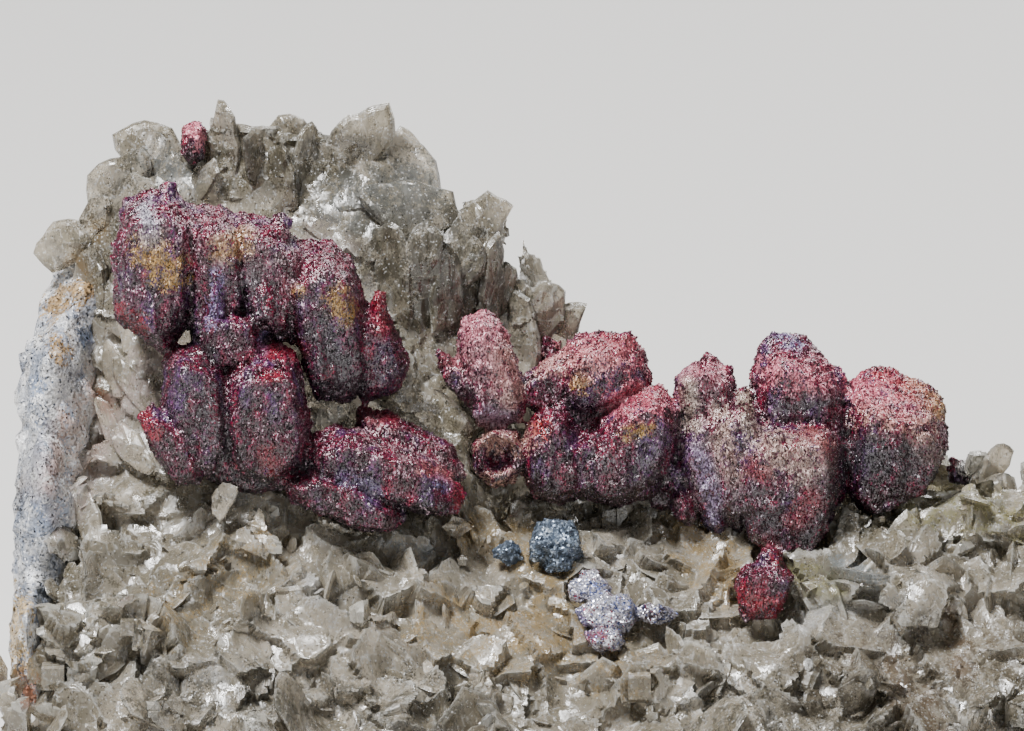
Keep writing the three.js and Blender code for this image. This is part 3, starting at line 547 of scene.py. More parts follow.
def metal_material(name, steps, grain_size):
    """Sparkling metallic grains of several colours."""
    material, nodes, shader, place = open_material(name)
    shine = glitter(nodes, place, grain_size, 1.7)
    cloud = nodes.noise(place, 0.9 * MM, 3.0)
    number = nodes.math("ADD", shine["Number"], nodes.spread(cloud, 0.3, 0.7, -0.25, 0.25), True)
    final = stained(nodes, place, nodes.palette(number, steps), shine["Second number"], 0.5 * MM, 0.7)
    values = {
        "Base Color": final["Colour"],
        "Roughness": nodes.spread(shine["Second number"], 0, 1, 0.18, 0.55),
        "Metallic": 0.65,
        "Normal": shine["Normal"],
    }
    nodes.fill(shader, values)
    return material


def nodule_material(settings):
    dark = [0.45 * part for part in settings.slate]
    steps = [(0.0, dark), (0.25, settings.slate), (0.96, settings.glint)]
    return metal_material("grey metal", steps, 0.1 * MM)


def silvery_material(settings):
    half = [0.5 * part for part in settings.silver]
    steps = [(0.0, settings.blue), (0.2, half), (0.4, settings.silver), (0.95, settings.red)]
    return metal_material("silvery sulphide", steps, 0.08 * MM)


# Stains, painted shade and a painted glint, as places in the front view: the colour, where it starts and
# ends, how wide, how strong.
# Each is gone this many times its width away, and is at its full strength one width nearer.

STAIN_FADES_AT = 1.35

SILVER = (178, 180, 194)
OCHRE = (158, 122, 62)
CHARCOAL = (26, 24, 30)
GREY = (78, 74, 80)
PLUM = (38, 22, 50)
BRIGHT_RED = (126, 14, 36)
ORANGE_RED = (158, 44, 40)
ROSE_PINK = (206, 120, 134)
RED_PINK = (198, 88, 108)
BEIGE_PINK = (188, 146, 132)
DUSTY_PINK = (160, 132, 138)
CREAM = (180, 164, 146)
LAVENDER = (116, 104, 142)
BLUE = (84, 88, 140)
MAROON = (34, 8, 14)
HONEY = (196, 168, 118)
GREEN_YELLOW = (172, 166, 118)
PALE_BLUE = (172, 180, 184)
WHITE = (232, 230, 226)
MOSS = (84, 78, 58)
# Painted shade: darkens the calcite under crystals, on the hump and along the bottom.
SHADE = (84, 80, 68)
RUST = (158, 92, 48)
PINK_WHITE = (206, 190, 182)
BLUE_GREY = (104, 120, 148)
TAN = (150, 122, 96)
BROWN = (118, 104, 84)

PROUSTITE_STAINS_AND_GLINT = [
    (SILVER, (7.4, 10.6), (7.7, 12), 0.5, 0.95),
    (OCHRE, (7.6, 12.6), (8.6, 13.6), 1.0, 0.95),
    (OCHRE, (11.3, 12.6), (12.2, 12.2), 0.8, 0.9),
    (OCHRE, (16.9, 14.9), (17.3, 15.6), 0.7, 0.9),
    (OCHRE, (15.1, 14.6), (15.1, 14.6), 0.4, 0.8),
    (CHARCOAL, (16.4, 17.6), (17.6, 19.6), 1.7, 0.95),
    (GREY, (16.2, 17), (16.8, 18.8), 1.0, 0.6),
    (PLUM, (19.2, 17.6), (19.4, 19.4), 0.9, 0.85),
    (GREY, (12.6, 14), (13, 15.4), 0.9, 0.7),
    (LAVENDER, (11.1, 13.4), (10.7, 16.2), 0.45, 0.55),
    (LAVENDER, (13.2, 16.8), (13.2, 17.6), 0.3, 0.8),
    (BRIGHT_RED, (13.3, 17.6), (15, 17.5), 0.5, 0.95),
    (BRIGHT_RED, (13.4, 18.9), (14.2, 18.7), 0.4, 0.8),
    (BRIGHT_RED, (7.2, 20.6), (7.9, 21.6), 0.5, 0.9),
    (BRIGHT_RED, (17.9, 20.8), (19.6, 21), 0.5, 0.9),
    (BRIGHT_RED, (19, 15), (19.2, 16.6), 0.5, 0.9),
    (BRIGHT_RED, (13.4, 22.6), (13.7, 23.4), 0.5, 0.8),
    (BRIGHT_RED, (6.1, 15.6), (7.2, 16.2), 0.6, 0.6),
    (BRIGHT_RED, (22.8, 24.6), (23.2, 25.2), 0.5, 0.95),
    (ORANGE_RED, (21.2, 23.4), (22.4, 23.8), 0.4, 0.8),
    # Painted highlight: a blue glint at a crystal's tip.
    (BLUE, (21.9, 24), (22.3, 24.3), 0.35, 0.9),
    (DUSTY_PINK, (18.6, 21.8), (22.6, 23.4), 0.9, 0.5),
    (GREY, (10.6, 19.6), (11, 22), 0.7, 0.6),
    (CHARCOAL, (10.4, 24), (13.6, 24.6), 0.6, 0.8),
    (LAVENDER, (17.4, 24), (18.8, 24.6), 0.5, 0.45),
    (ROSE_PINK, (23.4, 16.2), (24.8, 16.4), 0.9, 0.7),
    (BRIGHT_RED, (22.4, 18), (23.2, 18.2), 0.6, 0.7),
    (BEIGE_PINK, (25.2, 17.8), (25.6, 19.6), 0.8, 0.8),
    (LAVENDER, (24.2, 20.8), (25.4, 21.1), 0.5, 0.8),
    (BEIGE_PINK, (24, 21.8), (25.9, 21.9), 0.9, 0.75),
    (BEIGE_PINK, (23.8, 24), (25.8, 24.2), 0.6, 0.6),
    (BEIGE_PINK, (27.6, 18.2), (30.6, 17.8), 1.0, 0.5),
    (ROSE_PINK, (28, 17.6), (31.4, 18.4), 1.3, 0.35),
    (DUSTY_PINK, (23.4, 17), (24.8, 20), 1.5, 0.5),
    (ROSE_PINK, (23.6, 16.6), (24.8, 18.6), 1.1, 0.5),
    (DUSTY_PINK, (34.8, 19), (36, 24.5), 1.5, 0.5),
    (DUSTY_PINK, (37.8, 21.8), (40.2, 23.2), 1.3, 0.5),
    (DUSTY_PINK, (6.8, 10.2), (16, 13), 1.6, 0.3),
    (CHARCOAL, (8.8, 19), (13.6, 22.6), 1.6, 0.35),
    (CHARCOAL, (15.4, 23.6), (20.4, 25.4), 1.3, 0.45),
    (BEIGE_PINK, (43.4, 20.8), (46.4, 20.6), 1.0, 0.45),
    (ROSE_PINK, (30.6, 20.6), (33, 20.2), 0.7, 0.5),
    (CHARCOAL, (9, 16.4), (10.4, 17.6), 0.8, 0.7),
    (CHARCOAL, (11.6, 22.4), (12.6, 23.6), 0.8, 0.6),
    (BRIGHT_RED, (30.4, 17), (31.6, 17.4), 0.6, 0.7),
    (OCHRE, (28.9, 19.1), (29.1, 19.3), 0.45, 0.95),
    (ORANGE_RED, (27, 21.3), (27.1, 21.7), 0.5, 0.9),
    (PLUM, (29, 20.4), (31.4, 20), 0.4, 0.8),
    (BRIGHT_RED, (31, 19.9), (33.4, 19.6), 0.7, 0.85),
    (OCHRE, (31.3, 21.7), (32.4, 21.5), 0.4, 0.8),
    (MAROON, (26.8, 24.4), (33, 24.6), 0.9, 0.85),
    (ROSE_PINK, (34.4, 18.4), (36.2, 18.4), 0.7, 0.7),
    (CREAM, (34.4, 19.3), (34.6, 21.4), 0.45, 0.9),
    (CREAM, (37.2, 19.8), (37.4, 21.6), 0.4, 0.9),
    (CREAM, (36, 20.4), (36.2, 22.4), 0.5, 0.5),
    (LAVENDER, (34.8, 22.6), (35.9, 24.8), 0.5, 0.55),
    (CHARCOAL, (35.4, 25.4), (36, 26.6), 0.7, 0.8),
    (LAVENDER, (39.2, 16.9), (39.9, 17.3), 0.5, 0.8),
    (ROSE_PINK, (38.6, 18.6), (41, 18.8), 1.0, 0.75),
    (GREY, (39.2, 20.5), (41.8, 19.9), 0.5, 0.85),
    (BEIGE_PINK, (38.8, 22.4), (40.6, 22.6), 1.2, 0.65),
    (CREAM, (38.2, 22), (40, 23.6), 0.9, 0.35),
    (CHARCOAL, (41.6, 23.4), (40.8, 27.4), 1.0, 0.95),
    (GREY, (38, 25), (38.6, 26.6), 0.9, 0.6),
    (ORANGE_RED, (44, 18.8), (44.8, 19.4), 0.7, 0.8),
    (ROSE_PINK, (43, 19.6), (45.4, 20), 0.8, 0.7),
    (OCHRE, (45.6, 19.4), (47, 20.4), 0.6, 0.8),
    (CHARCOAL, (43, 22.8), (46, 23.4), 1.3, 1.0),
    (GREY, (36.4, 23.6), (37.2, 26.4), 1.1, 0.6),
    (CHARCOAL, (39, 26), (40.6, 26.8), 1.0, 0.6),
    (BEIGE_PINK, (45.8, 21.4), (46.6, 22.6), 0.7, 0.5),
    (MAROON, (43.4, 24.6), (45, 24.8), 0.8, 0.9),
    (BRIGHT_RED, (37, 29.8), (39.2, 30.4), 0.8, 0.9),
    (BRIGHT_RED, (38.2, 27.2), (38.8, 27.8), 0.5, 0.8),
    (ROSE_PINK, (9.4, 6.4), (10, 7), 0.6, 0.8),
    (WHITE, (48.3, 23.3), (49, 23.9), 0.4, 0.9),
    (BRIGHT_RED, (37.5, 23.3), (38.1, 23.7), 0.5, 0.95),
    (BRIGHT_RED, (39.7, 26), (40.5, 25), 0.6, 1.0),
    (BRIGHT_RED, (40.4, 21.6), (41.3, 22.4), 0.5, 0.9),
    (LAVENDER, (35.1, 23), (35.7, 26.4), 0.45, 0.85),
    (CHARCOAL, (36.6, 25.6), (37.2, 26.8), 0.6, 0.7),
    (BEIGE_PINK, (36, 21), (36.6, 23.6), 0.7, 0.5),
    (CHARCOAL, (9, 24), (11, 24.4), 0.5, 0.6),
    (RED_PINK, (43.4, 18.9), (45.2, 20), 1.3, 0.6),
    (GREY, (43, 22.8), (46.2, 23.2), 1.1, 0.5),
    (GREY, (30, 22.6), (32.6, 23.2), 0.9, 0.4),
    (RED_PINK, (29, 17.4), (31.6, 17.8), 0.9, 0.5),
    (RED_PINK, (31, 20.2), (33, 20), 0.9, 0.5),
]

CALCITE_STAINS_AND_SHADE = [
    (HONEY, (23.8, 27), (27.4, 28), 1.6, 0.85),
    (HONEY, (27.8, 30.6), (27, 32), 1.8, 0.6),
    (HONEY, (34.6, 26.4), (36.4, 28.8), 1.5, 0.9),
    (MOSS, (24.8, 26), (33.8, 25.7), 0.9, 0.75),
    (MOSS, (42.6, 26), (44.8, 26.4), 0.8, 0.6),
    (GREEN_YELLOW, (39.6, 28.2), (41.6, 29.4), 0.9, 0.8),
    (GREEN_YELLOW, (45.4, 25.2), (50.4, 25.8), 1.3, 0.7),
    (PALE_BLUE, (41.8, 28.4), (43.4, 28.8), 0.7, 0.85),
    (HONEY, (22, 30.8), (31, 32.6), 2.0, 0.45),
    (HONEY, (9, 30.4), (13, 27.6), 1.8, 0.35),
    (SHADE, (36, 35.4), (50, 35), 2.2, 0.6),
    (SHADE, (8, 34.4), (22, 35.2), 1.8, 0.6),
    (BROWN, (41, 33.6), (50, 32.4), 2.0, 0.5),
    (MOSS, (44.6, 30), (45.8, 28.6), 0.6, 0.7),
    (WHITE, (40.2, 30.4), (44.4, 30), 0.5, 0.9),
    (WHITE, (39.2, 31.4), (40.2, 31), 0.5, 0.85),
    (WHITE, (15.5, 29), (15.9, 30), 0.5, 0.95),
    (WHITE, (12.1, 24.5), (12.3, 25), 0.4, 0.7),
    (WHITE, (10.8, 33.2), (11.8, 33.4), 0.6, 0.7),
    (PALE_BLUE, (17, 10.4), (21, 9.4), 1.4, 0.5),
    (SHADE, (4.4, 13), (7.6, 8.6), 2.4, 0.65),
    (SHADE, (15.6, 20), (17.4, 21), 0.9, 0.8),
    (SHADE, (11.3, 24.9), (11.3, 25), 0.6, 0.5),
    (PALE_BLUE, (8, 8.2), (8.8, 9), 1.0, 0.5),
    (SHADE, (16, 8), (19, 12), 3.2, 0.5),
    (SHADE, (20, 11), (23.6, 15), 3.2, 0.85),
    (PINK_WHITE, (15.8, 11.8), (17, 12.6), 0.9, 0.7),
    (WHITE, (18, 14.8), (19.4, 16.6), 0.6, 0.6),
    (MOSS, (19.8, 11.8), (21.6, 16), 1.4, 0.5),
    (MOSS, (11, 6.6), (11.6, 9.4), 0.8, 0.7),
    (MOSS, (12.6, 8), (15.4, 8.4), 1.2, 0.85),
    (MOSS, (19.6, 19.8), (22.8, 21.8), 1.1, 0.7),
    (PALE_BLUE, (19.6, 27.2), (21, 27.6), 0.6, 0.5),
    (PALE_BLUE, (22, 27.6), (24.4, 28.6), 1.1, 0.45),
    (MOSS, (17.4, 26.6), (20.6, 26), 0.7, 0.6),
    (MOSS, (5.8, 26.6), (7.8, 24.4), 0.5, 0.5),
    (MOSS, (3.4, 28.6), (6.8, 30.6), 0.9, 0.4),
    (OCHRE, (4.9, 11.4), (5.1, 11.9), 0.5, 0.85),
    (OCHRE, (3.6, 12.9), (4.2, 13.8), 0.5, 0.8),
    (OCHRE, (2.6, 17.6), (3.4, 16.2), 0.7, 0.8),
    (PINK_WHITE, (8, 17.6), (1.6, 27.6), 1.2, 0.85),
    (WHITE, (4.4, 22), (3.2, 25), 0.6, 0.7),
    (RUST, (4.8, 19.4), (5.6, 20.6), 0.35, 0.85),
    (RUST, (4.8, 22.2), (4.4, 23.6), 0.3, 0.6),
    (HONEY, (1.2, 30), (1.2, 33), 0.9, 0.9),
    (RUST, (1.4, 33.6), (1.9, 34.8), 0.4, 0.85),
    (TAN, (44.6, 33.2), (45, 35.6), 0.6, 0.6),
    (TAN, (47.4, 30.6), (47.8, 33.4), 0.6, 0.7),
    (TAN, (46, 34.6), (46.6, 36.4), 0.6, 0.6),
    (MOSS, (43, 34), (43.6, 36.5), 0.6, 0.6),
    (MOSS, (50, 34.4), (51, 36), 0.7, 0.6),
    (GREY, (44, 32), (47, 31), 0.8, 0.3),
]

ROCK_STAINS = [
    (OCHRE, (2.6, 15.2), (4.2, 14.2), 0.9, 0.9),
    (OCHRE, (2.6, 16.6), (3.2, 17.6), 0.6, 0.7),
    (BLUE_GREY, (4.2, 16.6), (4.4, 17.2), 0.6, 0.8),
    (PINK_WHITE, (6, 16.6), (2, 24), 0.9, 0.7),
    (RUST, (4.8, 19.4), (5.4, 20.8), 0.4, 0.8),
    (HONEY, (1, 30), (1, 33), 0.9, 0.9),
    (RUST, (1.2, 33.6), (1.8, 35), 0.5, 0.85),
    (CHARCOAL, (1.6, 21), (1.2, 26), 0.6, 0.4),
    (WHITE, (1, 19.6), (1.4, 23.6), 0.5, 0.4),
    (BLUE_GREY, (1.8, 19.6), (2.4, 26), 0.9, 0.55),
    (RUST, (3.4, 20.8), (2.6, 24.4), 0.35, 0.6),
    (PINK_WHITE, (3.8, 21.6), (3.2, 25.6), 0.7, 0.6),
]

GREY_STAINS = [
    (LAVENDER, (28.6, 30.6), (29.2, 31.2), 0.6, 0.6),
    (BRIGHT_RED, (29.2, 31.8), (30, 31.6), 0.4, 0.8),
    (MAROON, (31.6, 30.6), (33.6, 30.5), 0.5, 0.6),
    (BLUE, (28.3, 30.2), (29, 31), 0.35, 0.7),
    (SILVER, (29, 29.2), (31, 30.4), 0.8, 0.4),
]


# How light the crust's body is between the darkest and the palest blades.
CRUST_TONE = 0.45

# Where the crust laps over the rock's edge: a place in the front view and half sizes.
CRUST_LAPS = [
    ((5.4, 16.4, 2.6), (1.5, 0.9, 1.6)),
    ((5.5, 18.2, 2.2), (1.5, 1.0, 1.6)),
    ((5.0, 20.0, 1.7), (1.5, 1.2, 1.6)),
    ((4.6, 21.8, 0.7), (1.5, 1.4, 1.5)),
    ((4.2, 23.4, -0.8), (1.3, 1.3, 1.5)),
    ((3.4, 25.2, -2.6), (1.1, 1.2, 1.4)),
    ((2.8, 27.0, -4.4), (1.0, 1.1, 1.3)),
]

# Places that the strewn calcite leaves open: a place in the front view and half sizes.
OPEN_PLACES = [
    ((48.3, 24.7, 0.8), (1.4, 1.6, 0.4)),
    ((50.2, 24.3, 2.4), (1.8, 1.8, 0.4)),
]

# Where crystals of the right cluster touch: a place in the front view and half sizes.
RIGHT_JOINTS = [
    ((33.7, 23.9, -1.2), (0.8, 1.0, 1.2)),
    ((33.9, 25.2, -2.2), (0.7, 1.0, 0.9)),
    ((33.0, 24.8, -1.4), (0.7, 0.9, 0.8)),
    ((41.7, 21.3, -0.6), (0.9, 1.0, 1.4)),
    ((41.9, 22.6, -1.2), (0.7, 0.9, 1.0)),
]


# How the feet of the two broad lower crystals slant: below this level in the front view, over this
# length, each place across moves this far to the right and this far down.
FOOT_TOP = 23.5
FOOT_LENGTH = 4.0
FOOT_ACROSS = [32.5, 34.0, 36.5, 37.5, 39.0, 40.5, 42.0, 43.5]
FOOT_RIGHT = [0.0, 1.4, 0.9, 0.2, 0.0, -0.3, -1.0, 0.0]
FOOT_DOWN = [0.0, 0.8, 0.9, 0.3, 0.2, 0.2, 0.0, 0.0]
FOOT_NEAREST = -5.6


# Shapes.


def link(name, data):
    """A new object in the scene with this mesh, light or camera."""
    made = bpy.data.objects.new(name, data)
    bpy.context.scene.collection.objects.link(made)
    return made


def object_from(work, name):
    """A new object with the mesh that was worked on."""
    mesh = bpy.data.meshes.new(name)
    work.to_mesh(mesh)
    work.free()
    return link(name, mesh)


def solid_copy(name, nodes, joints=()):
    """One object with copies of these solids, their loose triangles joined up, and these joints."""
    work = bmesh.new()
    for at, (wide, deep, high) in joints:
        shape = Matrix.Translation(seen(*at)) @ Matrix.Diagonal((wide * MM, deep * MM, high * MM, 1))
        bmesh.ops.create_icosphere(work, subdivisions=1, radius=1.0, matrix=shape)
    for node in nodes:
        work.from_mesh(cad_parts[node].data)
    bmesh.ops.remove_doubles(work, verts=work.verts, dist=1e-7)
    return object_from(work, name)


def settle(piece):
    """Turns what the modifiers make into the object's own plain mesh."""
    graph = bpy.context.evaluated_depsgraph_get()
    finished = piece.evaluated_get(graph)
    mesh = bpy.data.meshes.new_from_object(finished, preserve_all_data_layers=True, depsgraph=graph)
    piece.modifiers.clear()
    piece.data = mesh
    mesh.name = piece.name


def remesh(piece, voxel, rounds):
    """Rebuilds the surface in small even faces and rounds its edges this many times."""
    even = piece.modifiers.new("Even faces", "REMESH")
    even.mode = "VOXEL"
    even.voxel_size = voxel
    soft = piece.modifiers.new("Round edges", "SMOOTH")
    soft.factor = 0.5
    soft.iterations = rounds
    settle(piece)


def thin_out(piece, triangles):
    """Leaves about this many triangles, fewest where the surface is flat."""
    thinner = piece.modifiers.new("Fewer faces", "DECIMATE")
    piece.data.calc_loop_triangles()
    thinner.ratio = min(1.0, triangles / len(piece.data.loop_triangles))
    settle(piece)


def give(piece, tree, values):
    """Puts a geometry tree on a piece with these inputs, and settles the result."""
    modifier = piece.modifiers.new(tree.name, "NODES")
    modifier.node_group = tree
    for item in tree.interface.items_tree:
        if item.item_type == "SOCKET" and item.in_out == "INPUT" and item.name in values:
            modifier[item.identifier] = values[item.name]
    piece.update_tag()
    settle(piece)


def relief_tree():
    """Pushes a surface in and out: soft lumps, upright ribs and small angular grains."""
    name = "Stone relief"
    if name in bpy.data.node_groups:
        return bpy.data.node_groups[name]
    inputs = [
        ("Geometry", "NodeSocketGeometry", None),
        ("Lump size", "NodeSocketFloat", 1.5 * MM),
        ("Lump depth", "NodeSocketFloat", 0.0),
        ("Rib size", "NodeSocketFloat", 0.7 * MM),
        ("Rib depth", "NodeSocketFloat", 0.0),
        ("Grain size", "NodeSocketFloat", 0.3 * MM),
        ("Grain depth", "NodeSocketFloat", 0.1 * MM),
        ("Facet size", "NodeSocketFloat", 2.2 * MM),
        ("Facet steepness", "NodeSocketFloat", 0.0),
        ("Calmer above", "NodeSocketFloat", 1.0),
        ("Share there", "NodeSocketFloat", 1.0),
        ("Flat below", "NodeSocketFloat", 0.0),
        ("Material", "NodeSocketMaterial", None),
    ]
    outputs = [("Geometry", "NodeSocketGeometry")]
    tree, nodes, start, end = open_tree(name, "GeometryNodeTree", inputs, outputs)
    place = nodes.add("GeometryNodeInputPosition").outputs[0]
    facing = nodes.add("GeometryNodeInputNormal").outputs[0]

    def part(texture, size, depth, vector, low, high, output=0, **settings):
        values = {"Vector": vector, "Scale": nodes.math("DIVIDE", 1.0, start.outputs[size])}
        found = nodes.add(texture, values, **settings).outputs[output]
        height = nodes.spread(found, low, high, -1.0, 1.0)
        return nodes.math("MULTIPLY", height, start.outputs[depth])

    upright = nodes.vector("MULTIPLY", place, (1.0, 1.0, 0.22))
    lumps = part("ShaderNodeTexNoise", "Lump size", "Lump depth", place, 0.3, 0.7)
    ribs = part("ShaderNodeTexNoise", "Rib size", "Rib depth", upright, 0.3, 0.7)
    grains = part(
        "ShaderNodeTexVoronoi", "Grain size", "Grain depth", place, 0.7, 0.0, distance="CHEBYCHEV"
    )

    def tilted(shift):
        """How high a random tilted plane stands in each cell."""
        moved = nodes.vector("ADD", place, (shift * MM, 0.0, 0.6 * shift * MM))
        cell_scale = nodes.math("DIVIDE", 1.0, start.outputs["Facet size"])
        cells = nodes.add("ShaderNodeTexVoronoi", {"Vector": moved, "Scale": cell_scale})
        away = nodes.vector("SUBTRACT", moved, cells.outputs["Position"])
        lean = nodes.vector("SUBTRACT", cells.outputs["Color"], (0.5, 0.5, 0.5))
        height = nodes.add("ShaderNodeVectorMath", {0: away, 1: lean}, operation="DOT_PRODUCT")
        return height.outputs["Value"]

    planes = nodes.math("MAXIMUM", tilted(0.0), nodes.math("MAXIMUM", tilted(13.0), tilted(29.0)))
    sunk = nodes.math("SUBTRACT", planes, nodes.math("MULTIPLY", start.outputs["Facet size"], 0.12))
    level = nodes.add("ShaderNodeSeparateXYZ", {0: place}).outputs["Z"]
    over = nodes.spread(nodes.math("SUBTRACT", level, start.outputs["Calmer above"]), 0.0, 2.0 * MM)
    less = nodes.math("MULTIPLY", over, nodes.math("SUBTRACT", 1.0, start.outputs["Share there"]))
    steepness = nodes.math("MULTIPLY", start.outputs["Facet steepness"], nodes.math("SUBTRACT", 1.0, less))
    facets = nodes.math("MULTIPLY", sunk, steepness)
    height = nodes.math("ADD", nodes.math("ADD", lumps, facets), nodes.math("ADD", ribs, grains))
    above = nodes.math("SUBTRACT", level, start.outputs["Flat below"])
    held = nodes.math("MULTIPLY", height, nodes.spread(above, 0.0, 0.8 * MM))
    values = {"Geometry": start.outputs["Geometry"], "Offset": nodes.scaled(facing, held)}
    moved = nodes.add("GeometryNodeSetPosition", values).outputs[0]
    values = {"Geometry": moved, "Material": start.outputs["Material"]}
    nodes.put(end.inputs[0], nodes.add("GeometryNodeSetMaterial", values).outputs[0])
    return tree


def strew_tree():
    """Strews small shapes over a surface, turned and sized at random, clear of another object.

    Sizes are half lengths. Lift is a share of the size. Above one level only a share of them
    stands, and to the right of one place they stand more steeply.
    """
    name = "Strewn crystals"
    if name in bpy.data.node_groups:
        return bpy.data.node_groups[name]
    inputs = [
        ("Geometry", "NodeSocketGeometry", None),
        ("Shape 1", "NodeSocketObject", None),
        ("Shape 2", "NodeSocketObject", None),
        ("Shape 3", "NodeSocketObject", None),
        ("Keep clear of", "NodeSocketObject", None),
        ("Least distance", "NodeSocketFloat", 1.0 * MM),
        ("Most per square metre", "NodeSocketFloat", 1e6),
        ("Least size", "NodeSocketFloat", 0.5 * MM),
        ("Greatest size", "NodeSocketFloat", 1.0 * MM),
        ("Steepness", "NodeSocketFloat", 1.0),
        ("Steeper from", "NodeSocketFloat", 17 * MM),
        ("Lift", "NodeSocketFloat", 0.15),
        ("Sparse above", "NodeSocketFloat", 16 * MM),
        ("Share there", "NodeSocketFloat", 1.0),
        ("Clear distance", "NodeSocketFloat", 0.0),
        ("Material", "NodeSocketMaterial", None),
        ("Seed", "NodeSocketInt", 1),
    ]
    outputs = [("Geometry", "NodeSocketGeometry")]
    tree, nodes, start, end = open_tree(name, "GeometryNodeTree", inputs, outputs)
    given = start.outputs
    facing = nodes.add("GeometryNodeInputNormal").outputs[0]
    upward = nodes.add("ShaderNodeSeparateXYZ", {0: facing}).outputs["Z"]
    usable = nodes.math("GREATER_THAN", upward, -0.45)
    place = nodes.add("GeometryNodeInputPosition").outputs[0]
    parts = nodes.add("ShaderNodeSeparateXYZ", {0: place})
    over = nodes.spread(nodes.math("SUBTRACT", parts.outputs["Z"], given["Sparse above"]), 0.0, 2.0 * MM)
    fewer = nodes.math("SUBTRACT", 1.0, given["Share there"])
    crowding = nodes.math("SUBTRACT", 1.0, nodes.math("MULTIPLY", over, fewer))
    spots = nodes.add(
        "GeometryNodeDistributePointsOnFaces",
        {
            "Mesh": given["Geometry"],
            "Selection": usable,
            "Distance Min": given["Least distance"],
            "Density Max": given["Most per square metre"],
            "Density Factor": crowding,
            "Seed": given["Seed"],
        },
        distribute_method="POISSON",
    )

    def chance(low, high, offset, kind="FLOAT"):
        first = {"FLOAT_VECTOR": 0, "FLOAT": 2, "INT": 4}[kind]
        seed = nodes.math("ADD", given["Seed"], float(offset))
        made = nodes.add("FunctionNodeRandomValue", {first: low, first + 1: high, 8: seed}, data_type=kind)
        return made.outputs[first // 2]

    beyond = nodes.math("SUBTRACT", parts.outputs["X"], given["Steeper from"])
    steep = nodes.math("MULTIPLY", given["Steepness"], nodes.spread(beyond, 0.0, 12 * MM, 1.0, 2.2))
    stray = nodes.scaled(chance((-1.0, -1.0, -1.0), (1.0, 1.0, 0.8), 1, "FLOAT_VECTOR"), steep)
    aim = nodes.vector("ADD", spots.outputs["Normal"], stray)
    spin = nodes.add("ShaderNodeCombineXYZ", {"Z": chance(0.0, 2 * math.pi, 2)}).outputs[0]
    turned = nodes.add("FunctionNodeEulerToRotation", {0: spin}).outputs[0]
    values = {"Rotation": turned, "Vector": aim}
    rotation = nodes.add("FunctionNodeAlignRotationToVector", values, axis="Z").outputs[0]
    others = nodes.add("GeometryNodeObjectInfo", {0: given["Keep clear of"]}).outputs["Geometry"]
    near = nodes.add("GeometryNodeProximity", {0: others}, target_element="FACES").outputs["Distance"]
    room = nodes.math("SUBTRACT", near, given["Clear distance"])
    smaller = nodes.spread(room, 0.0, 2.0 * MM, 0.3, 1.0)
    draw = nodes.math("POWER", chance(0.0, 1.0, 3), 1.6)
    range_of_size = nodes.math("SUBTRACT", given["Greatest size"], given["Least size"])
    size = nodes.math("ADD", given["Least size"], nodes.math("MULTIPLY", draw, range_of_size))
    size = nodes.math("MULTIPLY", size, smaller)
    lift = nodes.math("MULTIPLY", size, given["Lift"])
    raised = nodes.add(
        "GeometryNodeSetPosition",
        {"Geometry": spots.outputs["Points"], "Offset": nodes.scaled(spots.outputs["Normal"], lift)},
    ).outputs[0]
    shapes = nodes.add("GeometryNodeJoinGeometry")
    for i in (3, 2, 1):
        shape = nodes.add("GeometryNodeObjectInfo", {0: given[f"Shape {i}"], 1: True})
        nodes.put(shapes.inputs[0], shape.outputs["Geometry"])
    placed = nodes.add(
        "GeometryNodeInstanceOnPoints",
        {
            "Points": raised,
            "Selection": nodes.math("GREATER_THAN", room, 0.0),
            "Instance": shapes.outputs[0],
            "Pick Instance": True,
            "Instance Index": chance(0, 2, 4, "INT"),
            "Rotation": rotation,
            "Scale": size,
        },
    ).outputs[0]
    marked = nodes.add(
        "GeometryNodeStoreNamedAttribute",
        {"Geometry": placed, "Name": "tone", "Value": chance(0.0, 1.0, 5)},
        data_type="FLOAT",
        domain="INSTANCE",
    ).outputs[0]
    real = nodes.add("GeometryNodeRealizeInstances", {"Geometry": marked}).outputs[0]
    values = {"Geometry": real, "Material": given["Material"]}
    nodes.put(end.inputs[0], nodes.add("GeometryNodeSetMaterial", values).outputs[0])
    return tree


def strew(piece, shapes, clear, values):
    """Strews these shapes over a piece's surface, clear of another object, and leaves only them."""
    named = {f"Shape {i}": shape for i, shape in enumerate(shapes, 1)}
    give(piece, strew_tree(), {"Keep clear of": clear, **named, **values})


def points_of(mesh, field="co"):
    """The places of a mesh's points, or another vector that they carry, one row each."""
    found = np.empty(3 * len(mesh.vertices), np.float32)
    mesh.vertices.foreach_get(field, found)
    return found.reshape(-1, 3)


def keep_inside(piece):
    """Holds a piece inside the solids' box, or just past it, and on the floor."""
    low, high = SOLID_BOX
    places = points_of(piece.data)
    least = np.array([low.x - PROUD, low.y - PROUD, 0.0])
    most = np.array([high.x + PROUD, high.y + PROUD, high.z + PROUD])
    held = np.clip(places, least, most).astype(np.float32)
    piece.data.vertices.foreach_set("co", held.ravel())
    piece.data.update()


def seen(across, down, depth):
    """A place of the front view, at a depth, in the specimen's own frame."""
    rise = VIEW_MIDDLE[1] - down - depth * math.sin(VIEW_ELEVATION)
    height = VIEW_CENTRE_HEIGHT + rise / math.cos(VIEW_ELEVATION)
    return Vector((across - VIEW_MIDDLE[0], depth, height)) * MM


def front_view(places):
    """Where points lie in the front view, across and down, in millimetres."""
    x, y, z = (places / MM).T
    rise = (z - VIEW_CENTRE_HEIGHT) * math.cos(VIEW_ELEVATION) + y * math.sin(VIEW_ELEVATION)
    return np.stack([x + VIEW_MIDDLE[0], VIEW_MIDDLE[1] - rise], axis=1)


